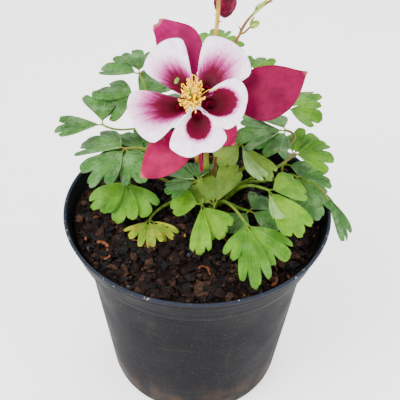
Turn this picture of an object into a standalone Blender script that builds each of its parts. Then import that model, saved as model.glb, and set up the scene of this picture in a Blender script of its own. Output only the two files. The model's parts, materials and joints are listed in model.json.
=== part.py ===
"""A potted columbine: a low clump of ternate leaves with one open two-tone bloom, a nodding bud
and a budding spray, growing in a filled round nursery pot.

World frame: +Z up, the plant's front toward -Y, origin at the centre of the pot's flat underside.
Sizes and places below are in millimetres and degrees; MM turns them into Blender's metres.
"""

import math
from collections import namedtuple

import bmesh
import bpy
from mathutils import Matrix, Vector

MM = 0.001
GAP = 0.3                       # clearance kept between neighbouring pieces

# Pot
POT_HEIGHT = 109.0
RIM_RADIUS = 65.0
BASE_RADIUS = 46.7
WALL = 1.6
FLOOR = 2.0
BAND_DEPTH = 17.0               # flaring collar below the lip
BAND_FOOT_RADIUS = 59.7
BODY_TOP_RADIUS = 56.2          # where the body meets the collar's step
STEP_DEPTH = 1.2
LIP = 0.8                       # rounded lip, its radius
POT_STEPS = 40
DRAIN_HOLES = 6
DRAIN_RADIUS = 4.0
DRAIN_CIRCLE = 32.0

# Potting mix and rootstock
MIX_TOP = 102.0
MIX_LUMP = 0.9                  # height of the surface's gentle lumps
CROWN_CENTRE = Vector((4.0, 12.0, 100.0))
CROWN_RADIUS = 10.5
CROWN_FLATTEN = 0.85
# Petioles leave the crown in two tiers, the flatter leaves' and the steeper leaves': the polar angle,
# and the least turn round the crown from one petiole to the next
FOOT_TIERS = ((64.0, 16.0), (42.0, 21.5))
STEEP = 37.5                    # a leaf whose joint stands above this angle is a steeper one
FOOT_ROUNDS = 300               # passes that push neighbouring feet apart
FOOT_STUB = 0.9                 # a limb first runs this far straight out of the crown
STEM_TIER = 15.0

# Leaves
BLADE_THICKNESS = 0.5
FOOT_RADIUS = 1.05
FORK_RADIUS = 0.75
STALK_RADIUS = 0.65
SINK = 0.6                      # how far one limb of a leaf runs on inside the next
PETIOLULE = 2.4                 # bare stalk between a joint and its leaflet
NECK = 0.9                      # width of that bare stalk
BLADE_DROOP = 0.16
BLADE_CUP = 0.10
TOOTH = 0.08
# Margin stations from one side of a leaflet to the other, in teeth: lobe tips and the notches
MARGIN_STATIONS = (-4.0, -3.0, -2.1, -1.5, -0.9, 0.0, 0.9, 1.5, 2.1, 3.0, 4.0)
TEETH = 9.0

# One sprig is a joint from which leaflets spread: heading is counted from +X toward +Y, pitch lifts
# it, roll lifts its left side. A leaflet is its turn from the heading, its length and half its spread.
Sprig = namedtuple("Sprig", "joint heading pitch roll cut leaflets")
Leaf = namedtuple("Leaf", "fork sprigs")

LEAVES = {
    "leaf_left_back": Leaf((-24, 33, 130), (
        Sprig((-47, 23, 138), 150, 8, 0, 0.22, ((44, 21, 30), (-38, 22, 50))),
        Sprig((-31, 51, 150), 120, 10, 0, 0.24, ((60, 16, 52), (-4, 18, 46), (-66, 14, 44))),
        Sprig((-32, 43, 142), 150, 0, 0, 0.24, ((28, 17, 48), (-32, 15, 44), (92, 14, 40))),
    )),
    "leaf_left": Leaf(None, (
        Sprig((-35, 11, 133), 185, -8, 0, 0.26, ((-34, 24, 50), (44, 25, 42), (104, 22, 40))),
    )),
    "leaf_left_inner": Leaf(None, (
        Sprig((-27, 21, 121), 155, -4, 0, 0.20, ((40, 19, 44), (-24, 14, 42), (-84, 11, 40))),
    )),
    "leaf_left_low": Leaf(None, (
        Sprig((-34, 6, 117), 262, -11, 0, 0.22, ((-44, 19, 42), (4, 26, 44), (48, 20, 38))),
    )),
    "leaf_front_left": Leaf(None, (
        Sprig((-23, -8.6, 105), 262, 8, 0, 0.30, ((-34, 16, 44), (18, 18, 38), (66, 15, 36))),
    )),
    "leaf_front": Leaf(None, (
        Sprig((2, -11, 118), 265, -12, 0, 0.12, ((-92, 13, 62), (-2, 23, 32), (48, 17, 54))),
    )),
    "leaf_front_right_low": Leaf(None, (
        Sprig((25, -6, 110), 350, -2, 0, 0.16, ((-105, 15, 50), (62, 13, 54), (-22, 15, 40))),
    )),
    "leaf_front_right": Leaf(None, (
        Sprig((22, -26, 120.5), 300, -12, 0, 0.26, ((34, 24, 42), (-14, 28, 34), (-60, 17, 34))),
    )),
    "leaf_right": Leaf(None, (
        Sprig((33, -8, 125), 335, -8, 0, 0.10, ((48, 18, 56), (-38, 24, 40))),
    )),
    "leaf_right_low": Leaf((42, 17, 113), (
        Sprig((44, 22, 117), 350, -4, 0, 0.18, ((92, 11, 44), (-6, 17, 50))),
        Sprig((48, 10, 119), 325, -8, 0, 0.24, ((36, 17, 48), (-28, 20, 46))),
        Sprig((61, -2, 118), 318, -42, 0, 0.20, ((0, 21, 26),)),
    )),
    "leaf_right_back": Leaf(None, (
        Sprig((45, 12, 131), 60, 5, 0, 0.28, ((38, 16, 40), (-8, 21, 44), (-66, 19, 50))),
    )),
    "leaf_right_high": Leaf(None, (
        Sprig((43, 38, 140), 10, 6, 0, 0.22, ((48, 21, 42), (-30, 16, 46))),
    )),
    "leaf_back_right": Leaf(None, (
        Sprig((41, 13.5, 144), 150, -2, 0, 0.20, ((34, 18, 50), (92, 15, 50), (-36, 16, 46))),
    )),
    "leaf_centre_right": Leaf(None, (
        Sprig((20, 10, 138), 290, -8, 0, 0.14, ((4, 25, 30),)),
    )),
    "leaf_centre": Leaf(None, (
        Sprig((8, -9.5, 116), 78, 44, 0, 0.14, ((14, 12, 24), (-18, 15, 22))),
    )),
    "leaf_centre_left": Leaf(None, (
        Sprig((0, -3.8, 126), 238, -2, 0, 0.14, ((-30, 15, 38), (-86, 14, 34))),
    )),
    "leaf_back": Leaf(None, (
        Sprig((6, 58, 160), 80, 14, 0, 0.22, ((48, 17, 46), (-10, 14, 40), (-70, 15, 44))),
    )),
    "leaf_back_high": Leaf(None, (
        Sprig((27, 58, 148), 70, 6, 0, 0.22, ((52, 16, 46), (0, 17, 44), (-52, 16, 44))),
    )),
    "leaf_back_left": Leaf(None, (
        Sprig((-10, 56, 128), 110, -10, 0, 0.22, ((64, 19, 48), (0, 21, 46), (-64, 19, 48))),
    )),
    "leaf_back_low": Leaf(None, (
        Sprig((16, 60, 120), 75, -16, 0, 0.24, ((62, 19, 48), (0, 20, 46), (-62, 19, 48))),
    )),
    "leaf_inner_back": Leaf(None, (
        Sprig((-13, 35, 118), 118, -6, 0, 0.20, ((62, 15, 46), (0, 17, 44), (-62, 12, 44))),
    )),
}

# Bloom: its centre is where petals, sepals and stamens meet; it faces along BLOOM_HEADING, BLOOM_RISE
BLOOM_CENTRE = Vector((-2.0, -12.0, 176.0))
BLOOM_HEADING = -104.0
BLOOM_RISE = 48.0
THROAT_CIRCLE = 6.1             # distance from the bloom's axis to each petal's throat
THROAT_RADIUS = 2.5
PETAL_SHARE = 0.60              # tangent of half the sector that a petal keeps to
PETAL_RISE = 7.5                # how far a petal's blade flares forward
PETAL_THICKNESS = 0.45
PETAL_SPOKES = 14
SPUR_LENGTH = 36.0
SPUR_SPLAY = 26.0
SPUR_TIP_RADIUS = 0.8
PETALS = {                      # clock angle seen from the front, blade length, roundness
    "petal_top_right": (61, 20.5, 1.05),
    "petal_top_left": (131, 19.0, 1.1),
    "petal_left": (208, 20.0, 1.1),
    "petal_bottom": (282, 18.0, 1.0),
    "petal_right": (353, 17.5, 1.1),
}
SEPAL_THICKNESS = 0.5
CLAW_RADIUS = 9.0               # a sepal stays a narrow claw this far from the bloom's axis
CLAW_WIDTH = 2.4
SEPALS = {                      # clock angle, length, width, forward lift and sideways sweep of the tip
    "sepal_right": (26, 43.0, 21.0, 4.0, -5.0),
    "sepal_top": (99, 35.5, 18.0, 0.0, 17.0),
    "sepal_left": (172, 26.0, 14.0, -9.0, 8.0),
    "sepal_bottom_left": (246, 33.5, 18.0, 2.0, 0.0),
    "sepal_bottom_right": (320, 20.0, 13.0, -7.0, 0.0),
}
STAMENS = 12
STAMEN_LENGTH = 13.0
COLUMN_RADIUS = 1.7
RECEPTACLE_TOP = 0.6            # the receptacle ends this far in front of the bloom's centre
RECEPTACLE = ((5.4, 2.7), (0.5, 2.75), (-RECEPTACLE_TOP, 2.7))  # depth and radius of its rings

# Bud, budding spray and the stems that carry them
STEM_FOOT_RADIUS = 1.5
STEM_TOP_RADIUS = 1.1
BUD_TOP = Vector((7.0, 20.0, 208.0))
BUD_CENTRE = Vector((10.0, 27.5, 201.0))
BUD_RADIUS = 5.4
BUD_LENGTH = 15.0
SPRAY_JOINT = Vector((17.0, 26.0, 186.5))


def new_collection(name):
    collection = bpy.data.collections.new(name)
    bpy.context.scene.collection.children.link(collection)
    return collection


def material(name, colour, roughness, metallic=0.0):
    result = bpy.data.materials.new(name)
    result.use_nodes = True
    shader = result.node_tree.nodes["Principled BSDF"]
    shader.inputs["Base Color"].default_value = (*colour, 1.0)
    shader.inputs["Roughness"].default_value = roughness
    shader.inputs["Metallic"].default_value = metallic
    return result


def mesh_object(name, points, faces, collection):
    """An object from points in millimetres."""
    mesh = bpy.data.meshes.new(name)
    mesh.from_pydata([tuple(Vector(p) * MM) for p in points], [], faces)
    mesh.validate()
    mesh.update()
    obj = bpy.data.objects.new(name, mesh)
    collection.objects.link(obj)
    return obj


def move_to(obj, collection):
    for current in list(obj.users_collection):
        current.objects.unlink(obj)
    collection.objects.link(obj)


def weld(mesh):
    work = bmesh.new()
    work.from_mesh(mesh)
    bmesh.ops.remove_doubles(work, verts=work.verts, dist=0.01 * MM)
    work.to_mesh(mesh)
    work.free()


def baked(obj, welded=False):
    """Replace the object by its evaluated mesh and return the new object."""
    evaluated = obj.evaluated_get(bpy.context.evaluated_depsgraph_get())
    mesh = bpy.data.meshes.new_from_object(evaluated)
    if welded:
        weld(mesh)
    result = bpy.data.objects.new(obj.name, mesh)
    result.matrix_world = obj.matrix_world
    obj.users_collection[0].objects.link(result)
    name = obj.name
    bpy.data.objects.remove(obj)
    result.name = name
    return result


def finish(obj, finish_material, sharp=35.0):
    obj.data.materials.clear()
    obj.data.materials.append(finish_material)
    obj.data.shade_smooth()
    obj.data.set_sharp_from_angle(angle=math.radians(sharp))
    return obj


def tube(name, points, radii, collection, resolution=1):
    """A round limb along the points, each with its own radius."""
    curve = bpy.data.curves.new(name, "CURVE")
    curve.dimensions = "3D"
    curve.bevel_depth = MM
    curve.bevel_resolution = resolution
    curve.use_fill_caps = True
    spline = curve.splines.new("POLY")
    spline.points.add(len(points) - 1)
    for knot, point, radius in zip(spline.points, points, radii):
        knot.co = (*(Vector(point) * MM), 1.0)
        knot.radius = radius
    obj = bpy.data.objects.new(name, curve)
    collection.objects.link(obj)
    return baked(obj, welded=True)


def turned(name, profile, steps, collection):
    """A profile of (radius, height) points, turned about Z; it runs down its outer side."""
    points = [(radius, 0.0, height) for radius, height in profile]
    edges = [(i, i + 1) for i in range(len(points) - 1)]
    mesh = bpy.data.meshes.new(name)
    mesh.from_pydata([tuple(Vector(p) * MM) for p in points], edges, [])
    obj = bpy.data.objects.new(name, mesh)
    collection.objects.link(obj)
    screw = obj.modifiers.new("Turn", "SCREW")
    screw.steps = steps
    screw.render_steps = steps
    screw.use_merge_vertices = True
    screw.merge_threshold = 0.0001
    return baked(obj)


def boolean(obj, operation, other, solver="EXACT"):
    """Cut or join with one object or with every object of a collection, which are then removed."""
    modifier = obj.modifiers.new(operation, "BOOLEAN")
    modifier.operation = operation
    modifier.solver = solver
    if isinstance(other, bpy.types.Collection):
        modifier.operand_type = "COLLECTION"
        modifier.collection = other
        spent = list(other.objects)
    else:
        modifier.object = other
        spent = [other]
    obj = baked(obj)
    for piece in spent:
        bpy.data.objects.remove(piece)
    return obj


def direction(heading, rise):
    heading, rise = math.radians(heading), math.radians(rise)
    level = math.cos(rise)
    return Vector((math.cos(heading) * level, math.sin(heading) * level, math.sin(rise)))


def arc(start, leave, end, arrive, steps, pull=0.4):
    """Points of a smooth arc that leaves and arrives along the given directions."""
    reach = (end - start).length * pull
    first, second = start + leave.normalized() * reach, end - arrive.normalized() * reach
    points = []
    for step in range(steps + 1):
        t = step / steps
        points.append(start * (1 - t) ** 3 + first * 3 * t * (1 - t) ** 2
                      + second * 3 * t * t * (1 - t) + end * t ** 3)
    return points


def tapered(foot, tip, count):
    return [foot + (tip - foot) * i / (count - 1) for i in range(count)]


# ---- pot, potting mix and rootstock ----

def outer_radius(height):
    """The pot's outer radius: a straight body, and above it the flaring collar."""
    band_foot = POT_HEIGHT - BAND_DEPTH
    if height < band_foot:
        return BASE_RADIUS + (BODY_TOP_RADIUS - BASE_RADIUS) * height / (band_foot - STEP_DEPTH)
    return BAND_FOOT_RADIUS + (RIM_RADIUS - BAND_FOOT_RADIUS) * (height - band_foot) / (BAND_DEPTH - LIP)


def inner_radius(height):
    """The inside follows the outside, with the collar's step one wall higher."""
    step = POT_HEIGHT - BAND_DEPTH + WALL
    if height < step:
        return outer_radius(min(height, POT_HEIGHT - BAND_DEPTH - STEP_DEPTH)) - WALL
    top, foot = RIM_RADIUS - 2 * LIP, BAND_FOOT_RADIUS - WALL
    return foot + (top - foot) * (height - step) / (POT_HEIGHT - LIP - step)


def build_pot(parts, cutters):
    band_foot = POT_HEIGHT - BAND_DEPTH
    lip_radius, lip_height = RIM_RADIUS - LIP, POT_HEIGHT - LIP
    lip = [(lip_radius + LIP * math.cos(math.radians(a)), lip_height + LIP * math.sin(math.radians(a)))
           for a in (180, 135, 90, 45, 0)]
    body_top = band_foot - STEP_DEPTH
    outside = [(BAND_FOOT_RADIUS, band_foot), (BODY_TOP_RADIUS, body_top),
               (outer_radius(1.5), 1.5), (BASE_RADIUS - 1.2, 0.0), (0.0, 0.0)]
    inside = [(0.0, FLOOR), (inner_radius(FLOOR) - 1.0, FLOOR), (inner_radius(FLOOR + 1.5), FLOOR + 1.5),
              (BODY_TOP_RADIUS - WALL, body_top + WALL), (BAND_FOOT_RADIUS - WALL, band_foot + WALL)]
    pot = turned("pot", lip + outside + inside + lip[:1], POT_STEPS, parts)
    for index in range(DRAIN_HOLES):
        angle = math.tau * index / DRAIN_HOLES
        bpy.ops.mesh.primitive_cylinder_add(
            vertices=12, radius=DRAIN_RADIUS * MM, depth=4 * FLOOR * MM,
            location=(DRAIN_CIRCLE * MM * math.cos(angle), DRAIN_CIRCLE * MM * math.sin(angle), 0.0))
        hole = bpy.context.object
        hole.name = f"drain_{index + 1}"
        hole.hide_render = True
        hole.display_type = "WIRE"
        move_to(hole, cutters)
    pot = boolean(pot, "DIFFERENCE", cutters)
    return finish(pot, material("black_plastic", (0.045, 0.045, 0.05), 0.5))


def mix_height(x, y):
    """The potting mix's gently lumpy surface."""
    return MIX_TOP + MIX_LUMP * (math.sin(0.19 * x + 0.7) * math.cos(0.23 * y)
                                 + 0.5 * math.sin(0.41 * y - 0.31 * x))


def build_mix(parts, cutters):
    top_radius = inner_radius(MIX_TOP) - GAP
    band_foot = POT_HEIGHT - BAND_DEPTH
    top = [(top_radius * share, MIX_TOP) for share in (0.0, 0.3, 0.55, 0.8, 1.0)]
    side = [(BAND_FOOT_RADIUS - WALL - GAP, band_foot + WALL + GAP),
            (BODY_TOP_RADIUS - WALL - GAP, band_foot - STEP_DEPTH + WALL + GAP),
            (inner_radius(FLOOR + 2.0) - GAP, FLOOR + 2.0), (inner_radius(FLOOR) - 1.5, FLOOR + GAP)]
    mix = turned("potting_mix", top + side + [(0.0, FLOOR + GAP)], POT_STEPS, parts)
    edge = top_radius - 1.0
    for vertex in mix.data.vertices:
        x, y, z = vertex.co / MM
        if z > MIX_TOP - 0.1 and math.hypot(x, y) < edge:
            vertex.co.z = mix_height(x, y) * MM
    socket = crown_solid("crown_socket", CROWN_RADIUS + GAP / CROWN_FLATTEN, cutters)
    mix = boolean(mix, "DIFFERENCE", socket)
    return finish(mix, material("potting_mix", (0.05, 0.032, 0.024), 0.95))


def crown_solid(name, radius, collection):
    bpy.ops.mesh.primitive_uv_sphere_add(segments=16, ring_count=8, radius=radius * MM)
    obj = bpy.context.object
    obj.name = name
    obj.data.transform(Matrix.Diagonal((1.0, 1.0, CROWN_FLATTEN, 1.0)))
    obj.data.transform(Matrix.Translation(CROWN_CENTRE * MM))
    move_to(obj, collection)
    return obj


def build_crown(parts):
    crown = crown_solid("crown", CROWN_RADIUS, parts)
    return finish(crown, material("rootstock", (0.16, 0.10, 0.05), 0.85))


def crown_foot(bearing, polar):
    """Where a limb leaves the crown, and which way."""
    out = direction(bearing, 90.0 - polar)
    scale = Vector((1.0, 1.0, CROWN_FLATTEN))
    point = CROWN_CENTRE + Vector([a * b for a, b in zip(out * CROWN_RADIUS, scale)])
    normal = Vector([a / b for a, b in zip(out, scale)]).normalized()
    return point + normal * GAP, normal


# ---- leaves ----

def sprig_frame(sprig):
    """Local +Y runs along the heading, +Z out of the leaf's upper face."""
    return (Matrix.Translation(Vector(sprig.joint))
            @ Matrix.Rotation(math.radians(sprig.heading - 90.0), 4, "Z")
            @ Matrix.Rotation(math.radians(sprig.pitch), 4, "X")
            @ Matrix.Rotation(math.radians(sprig.roll), 4, "Y"))


def leaflet_frame(sprig, turn):
    return (sprig_frame(sprig) @ Matrix.Rotation(math.radians(turn), 4, "Z")
            @ Matrix.Translation((0.0, PETIOLULE, 0.0)))


def margin_radius(station, length, cut):
    """Distance from a leaflet's foot to its margin; station counts teeth from the midrib."""
    share = abs(station) / (TEETH / 2)
    envelope = math.cos(share * math.pi / 2) ** 0.35
    tooth = 1.0 - TOOTH * (1.0 - abs(math.cos(math.pi * station)))
    notch = 1.0 - cut * math.exp(-((abs(station) - 1.5) / 0.3) ** 2)
    return length * envelope * tooth * notch


def blade_point(radius, angle, length):
    """A point of the gently cupped and drooping blade."""
    x, y = radius * math.sin(angle), radius * math.cos(angle)
    z = length * (BLADE_CUP * (x / length) ** 2 * 2.0 - BLADE_DROOP * (y / length) ** 2)
    return Vector((x, y, z))


def build_leaflet(name, sprig, leaflet, collection):
    """A lobed blade on a narrow neck, which starts inside the end of its stalk."""
    turn, length, spread = leaflet
    frame = leaflet_frame(sprig, turn)
    margin = []
    for station in MARGIN_STATIONS:
        angle = math.radians(spread) * station / (TEETH / 2)
        margin.append(blade_point(margin_radius(station, length, sprig.cut), angle, length))
    sunk = -PETIOLULE - 0.3
    neck = [Vector((NECK / 2, 0.0, 0.0)), Vector((NECK / 2, sunk, 0.0)), Vector((-NECK / 2, sunk, 0.0)),
            Vector((-NECK / 2, 0.0, 0.0))]
    outline = margin + neck
    points = [frame @ Vector((0.0, 0.0, 0.0))] + [frame @ point for point in outline]
    last = len(outline)
    faces = [(0, i + 1, i) for i in range(1, len(margin) + 1)]
    faces += [(0, last, last - 1, last - 2, last - 3), (0, 1, last)]
    blade = mesh_object(name, points, faces, collection)
    solidify = blade.modifiers.new("Thickness", "SOLIDIFY")
    solidify.thickness = BLADE_THICKNESS * MM
    solidify.offset = 0.0
    return baked(blade)


def build_leaf(name, leaf, foot, parts, scraps, leaf_material):
    start, normal = foot
    rise = start + normal * FOOT_STUB
    first = leaf.sprigs[0]
    if leaf.fork is None:
        end, arrive = Vector(first.joint), sprig_frame(first).to_3x3() @ Vector((0.0, 1.0, 0.0))
    else:
        end = Vector(leaf.fork)
        arrive = (end - start) + Vector((0.0, 0.0, (end - start).length * 0.3))
    points = [start] + arc(rise, normal + Vector((0.0, 0.0, 1.0)), end, arrive, 6)
    points.append(end + arrive.normalized() * SINK)
    petiole = tube(name, points, tapered(FOOT_RADIUS, FORK_RADIUS, len(points)), parts)
    for number, sprig in enumerate(leaf.sprigs):
        if leaf.fork is not None:
            forward = sprig_frame(sprig).to_3x3() @ Vector((0.0, 1.0, 0.0))
            back = Vector(leaf.fork) - (Vector(sprig.joint) - Vector(leaf.fork)).normalized() * 0.4
            route = arc(back, Vector(sprig.joint) - back, Vector(sprig.joint), forward, 3)
            route.append(Vector(sprig.joint) + forward * SINK)
            tube(f"stalk_{number}", route, tapered(FORK_RADIUS, STALK_RADIUS, len(route)), scraps)
        for index, leaflet in enumerate(sprig.leaflets):
            build_leaflet(f"blade_{number}_{index}", sprig, leaflet, scraps)
    result = boolean(petiole, "UNION", scraps, "MANIFOLD")
    return finish(result, leaf_material)


def leaf_goal(leaf):
    """Bearing and rise of the leaf's fork or joint, seen from the crown."""
    goal = Vector(leaf.fork or leaf.sprigs[0].joint) - CROWN_CENTRE
    rise = math.atan2(goal.z, math.hypot(goal.x, goal.y))
    return math.degrees(math.atan2(goal.y, goal.x)) % 360.0, math.degrees(rise)


def spread_out(bearings, least):
    """Push bearings, given in their order round the circle, apart until all are `least` from the next."""
    for _ in range(FOOT_ROUNDS):
        for here in range(len(bearings)):
            after = (here + 1) % len(bearings)
            lack = least - (bearings[after] - bearings[here]) % 360.0
            if lack > 0.0:
                bearings[here] -= lack / 2
                bearings[after] += lack / 2
    return bearings


def leaf_feet():
    feet = {}
    for steeper, (polar, least) in enumerate(FOOT_TIERS):
        names = [name for name, leaf in LEAVES.items() if (leaf_goal(leaf)[1] > STEEP) == bool(steeper)]
        names.sort(key=lambda name: leaf_goal(LEAVES[name])[0])
        bearings = spread_out([leaf_goal(LEAVES[name])[0] for name in names], least)
        feet.update({name: crown_foot(bearing, polar) for name, bearing in zip(names, bearings)})
    return feet


# ---- bloom ----

def bloom_axes():
    """The bloom's forward axis, and its right and up directions seen from the front."""
    forward = direction(BLOOM_HEADING, BLOOM_RISE)
    right = forward.cross(Vector((0.0, 0.0, 1.0))).normalized() * -1.0
    return forward, right, right.cross(forward) * -1.0


def bloom_ray(clock):
    forward, right, up = bloom_axes()
    clock = math.radians(clock)
    out = right * math.cos(clock) + up * math.sin(clock)
    return out, forward.cross(out)


def petal_reach(angle, blade, roundness):
    """Distance from the throat's axis to the petal's edge, kept to the petal's share of the bloom."""
    inner = THROAT_RADIUS + 0.5
    reach = inner + (blade - inner) * ((1.0 + math.cos(angle)) / 2.0) ** roundness
    outward = abs(math.sin(angle)) - PETAL_SHARE * math.cos(angle)
    if outward > 0.0:
        reach = min(reach, PETAL_SHARE * THROAT_CIRCLE / outward)
    return max(reach, inner)


def petal_lift(distance):
    flare = max(distance - THROAT_RADIUS, 0.0)
    return PETAL_RISE * (1.0 - math.exp(-flare / 6.0))


def spur_rings():
    """(depth, radius) of the spur's rings, from the throat back to its knobbed tip."""
    return ((3.0, 2.15), (9.0, 1.55), (18.0, 1.15), (27.0, SPUR_TIP_RADIUS), (SPUR_LENGTH - 3.0, 1.1),
            (SPUR_LENGTH, 0.7))


def build_petal(name, clock, blade, roundness, parts, petal_material):
    forward, _, _ = bloom_axes()
    out, across = bloom_ray(clock)
    throat = BLOOM_CENTRE + out * THROAT_CIRCLE
    spokes = PETAL_SPOKES
    shares = (1.0, 0.62, 0.26, 0.0)
    points, faces = [], []
    for share in shares:
        for spoke in range(spokes):
            angle = math.tau * spoke / spokes
            reach = petal_reach(angle, blade, roundness)
            distance = THROAT_RADIUS + (reach - THROAT_RADIUS) * share
            points.append(throat + (out * math.cos(angle) + across * math.sin(angle)) * distance
                          + forward * petal_lift(distance))
    splay = math.tan(math.radians(SPUR_SPLAY))
    for depth, radius in spur_rings():
        centre = throat - forward * depth + out * splay * depth * min(1.0, depth / 14.0)
        for spoke in range(spokes):
            angle = math.tau * spoke / spokes
            points.append(centre + (out * math.cos(angle) + across * math.sin(angle)) * radius)
    rings = len(shares) + len(spur_rings())
    for ring in range(rings - 1):
        for spoke in range(spokes):
            a, b = ring * spokes + spoke, ring * spokes + (spoke + 1) % spokes
            faces.append((a, b, b + spokes, a + spokes))
    faces.append(tuple((rings - 1) * spokes + spoke for spoke in range(spokes)))
    petal = mesh_object(name, points, faces, parts)
    solidify = petal.modifiers.new("Thickness", "SOLIDIFY")
    solidify.thickness = PETAL_THICKNESS * MM
    solidify.offset = 0.0
    return finish(petal, petal_material)


def sepal_half_width(distance, length, width):
    """Half the width of a sepal at a distance along it: a claw, a broad middle and a pointed tip."""
    share = max(distance - CLAW_RADIUS, 0.0) / (length - CLAW_RADIUS)
    return max(CLAW_WIDTH / 2 * (1.0 - share), width / 2 * math.sin(math.pi * share ** 0.8) ** 0.8)


def build_sepal(name, clock, length, width, lift, sweep, parts, sepal_material):
    forward, _, _ = bloom_axes()
    out, across = bloom_ray(clock)
    start = BLOOM_CENTRE + out * 3.2 - forward * 5.0
    rows = 9
    points, faces = [], []
    for row in range(rows + 1):
        share = row / rows
        middle = (start + out * length * share + across * sweep * share ** 2
                  + forward * (lift * share ** 2 + 1.5 * math.sin(math.pi * share)))
        half = sepal_half_width(length * share, length, width) if row < rows else 0.4
        for side in (-1.0, 0.0, 1.0):
            points.append(middle + across * half * side + forward * 0.12 * half * abs(side))
    for row in range(rows):
        for column in range(2):
            a = row * 3 + column
            faces.append((a, a + 3, a + 4, a + 1))
    sepal = mesh_object(name, points, faces, parts)
    solidify = sepal.modifiers.new("Thickness", "SOLIDIFY")
    solidify.thickness = SEPAL_THICKNESS * MM
    solidify.offset = 0.0
    return finish(sepal, sepal_material)


def build_stamens(parts, scraps, stamen_material):
    forward, _, _ = bloom_axes()
    foot = BLOOM_CENTRE + forward * (RECEPTACLE_TOP + GAP)
    core = tube("stamens", (foot, BLOOM_CENTRE + forward * 3.0, BLOOM_CENTRE + forward * 7.0),
                (COLUMN_RADIUS, COLUMN_RADIUS, 1.2), parts, 2)
    for index in range(STAMENS):
        out, _ = bloom_ray(index * 137.5)
        spread = 6.5 * math.sqrt((index + 0.5) / STAMENS)
        reach = STAMEN_LENGTH * (1.0 - 0.25 * (index + 0.5) / STAMENS)
        start = BLOOM_CENTRE + forward * 4.0 + out * 0.5
        bend = BLOOM_CENTRE + forward * reach * 0.7 + out * spread * 0.5
        tip = BLOOM_CENTRE + forward * reach + out * spread
        tube(f"filament_{index}", (start, bend, tip), (0.3, 0.28, 0.25), scraps, 0)
        bpy.ops.mesh.primitive_ico_sphere_add(subdivisions=1, radius=0.9 * MM, location=tip * MM)
        move_to(bpy.context.object, scraps)
    return finish(boolean(core, "UNION", scraps, "MANIFOLD"), stamen_material)


def build_bloom(parts, scraps):
    forward, _, _ = bloom_axes()
    petal_white = material("petal_white", (0.86, 0.78, 0.84), 0.5)
    sepal_crimson = material("sepal_crimson", (0.42, 0.02, 0.10), 0.5)
    for name, (clock, blade, roundness) in PETALS.items():
        build_petal(name, clock, blade, roundness, parts, petal_white)
    for name, (clock, length, width, lift, sweep) in SEPALS.items():
        build_sepal(name, clock, length, width, lift, sweep, parts, sepal_crimson)
    build_stamens(parts, scraps, material("stamen_yellow", (0.85, 0.62, 0.10), 0.6))
    start, leave = crown_foot(-90.0, STEM_TIER)
    points = [start] + arc(start + leave * FOOT_STUB, leave, BLOOM_CENTRE - forward * 7.5, forward, 10)
    radii = tapered(STEM_FOOT_RADIUS, STEM_TOP_RADIUS, len(points))
    for depth, radius in RECEPTACLE:
        points.append(BLOOM_CENTRE - forward * depth)
        radii.append(radius)
    stem = tube("bloom_stem", points, radii, parts, 2)
    return finish(stem, material("stem_tan", (0.35, 0.30, 0.12), 0.6))


# ---- bud and spray ----

def build_bud(parts):
    start, leave = crown_foot(150.0, STEM_TIER)
    climb = [start] + arc(start + leave * FOOT_STUB, leave, BUD_TOP, Vector((0.0, 0.3, 0.5)), 9)
    hook_end = BUD_CENTRE + Vector((0.0, 0.0, BUD_LENGTH / 2 + 2 * GAP))
    hook = arc(BUD_TOP, Vector((0.0, 0.3, 0.5)), hook_end, Vector((0.0, 0.0, -1.0)), 4)
    points = climb + hook[1:]
    stem = tube("bud_stem", points, tapered(STEM_FOOT_RADIUS - 0.2, 0.7, len(points)), parts)
    finish(stem, material("stem_olive", (0.40, 0.34, 0.16), 0.6))
    profile = [(0.0, 0.5), (0.45, 0.46), (0.85, 0.30), (1.0, 0.05), (0.95, -0.18), (0.75, -0.36),
               (0.42, -0.46), (0.0, -0.5)]
    bud = turned("bud", [(BUD_RADIUS * r, BUD_LENGTH * z) for r, z in profile], 15, parts)
    for vertex in bud.data.vertices:
        x, y, z = vertex.co
        fold = 1.0 + 0.10 * math.cos(5.0 * math.atan2(y, x))
        vertex.co = Vector((x * fold, y * fold, z)) + BUD_CENTRE * MM
    return finish(bud, material("bud_crimson", (0.30, 0.01, 0.05), 0.5))


def spindle(name, foot, tip, radius, collection):
    """A small closed bud or bract between two points."""
    points = [foot.lerp(tip, share) for share in (0.0, 0.25, 0.6, 1.0)]
    return tube(name, points, (radius * 0.5, radius, radius * 0.85, radius * 0.25), collection)


def build_spray(parts, scraps):
    start, leave = crown_foot(30.0, STEM_TIER)
    points = [start] + arc(start + leave * FOOT_STUB, leave, SPRAY_JOINT, Vector((0.5, 0.1, 1.0)), 9)
    end = SPRAY_JOINT + Vector((20.0, 4.0, 20.0))
    upper = arc(SPRAY_JOINT, Vector((0.3, 0.0, 1.0)), end, Vector((1.0, 0.2, 0.7)), 5)
    points = points + upper[1:]
    stem = tube("spray_stem", points, tapered(STEM_FOOT_RADIUS - 0.4, 0.4, len(points)), parts)
    twig = SPRAY_JOINT + Vector((4.5, 2.0, 2.5))
    tube("twig", (SPRAY_JOINT, twig), (0.5, 0.45), scraps)
    spindle("bud_low", twig - Vector((0.3, 0.0, 0.2)), twig + Vector((4.0, 1.0, 2.4)), 1.5, scraps)
    spindle("bud_tip", end - Vector((0.8, 0.2, 0.6)), end + Vector((9.0, 1.5, 4.0)), 1.5, scraps)
    spindle("bract", upper[2], upper[2] + Vector((7.0, 1.0, 8.0)), 0.9, scraps)
    stem = boolean(stem, "UNION", scraps, "MANIFOLD")
    return finish(stem, material("spray_green", (0.35, 0.38, 0.16), 0.6))


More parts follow.
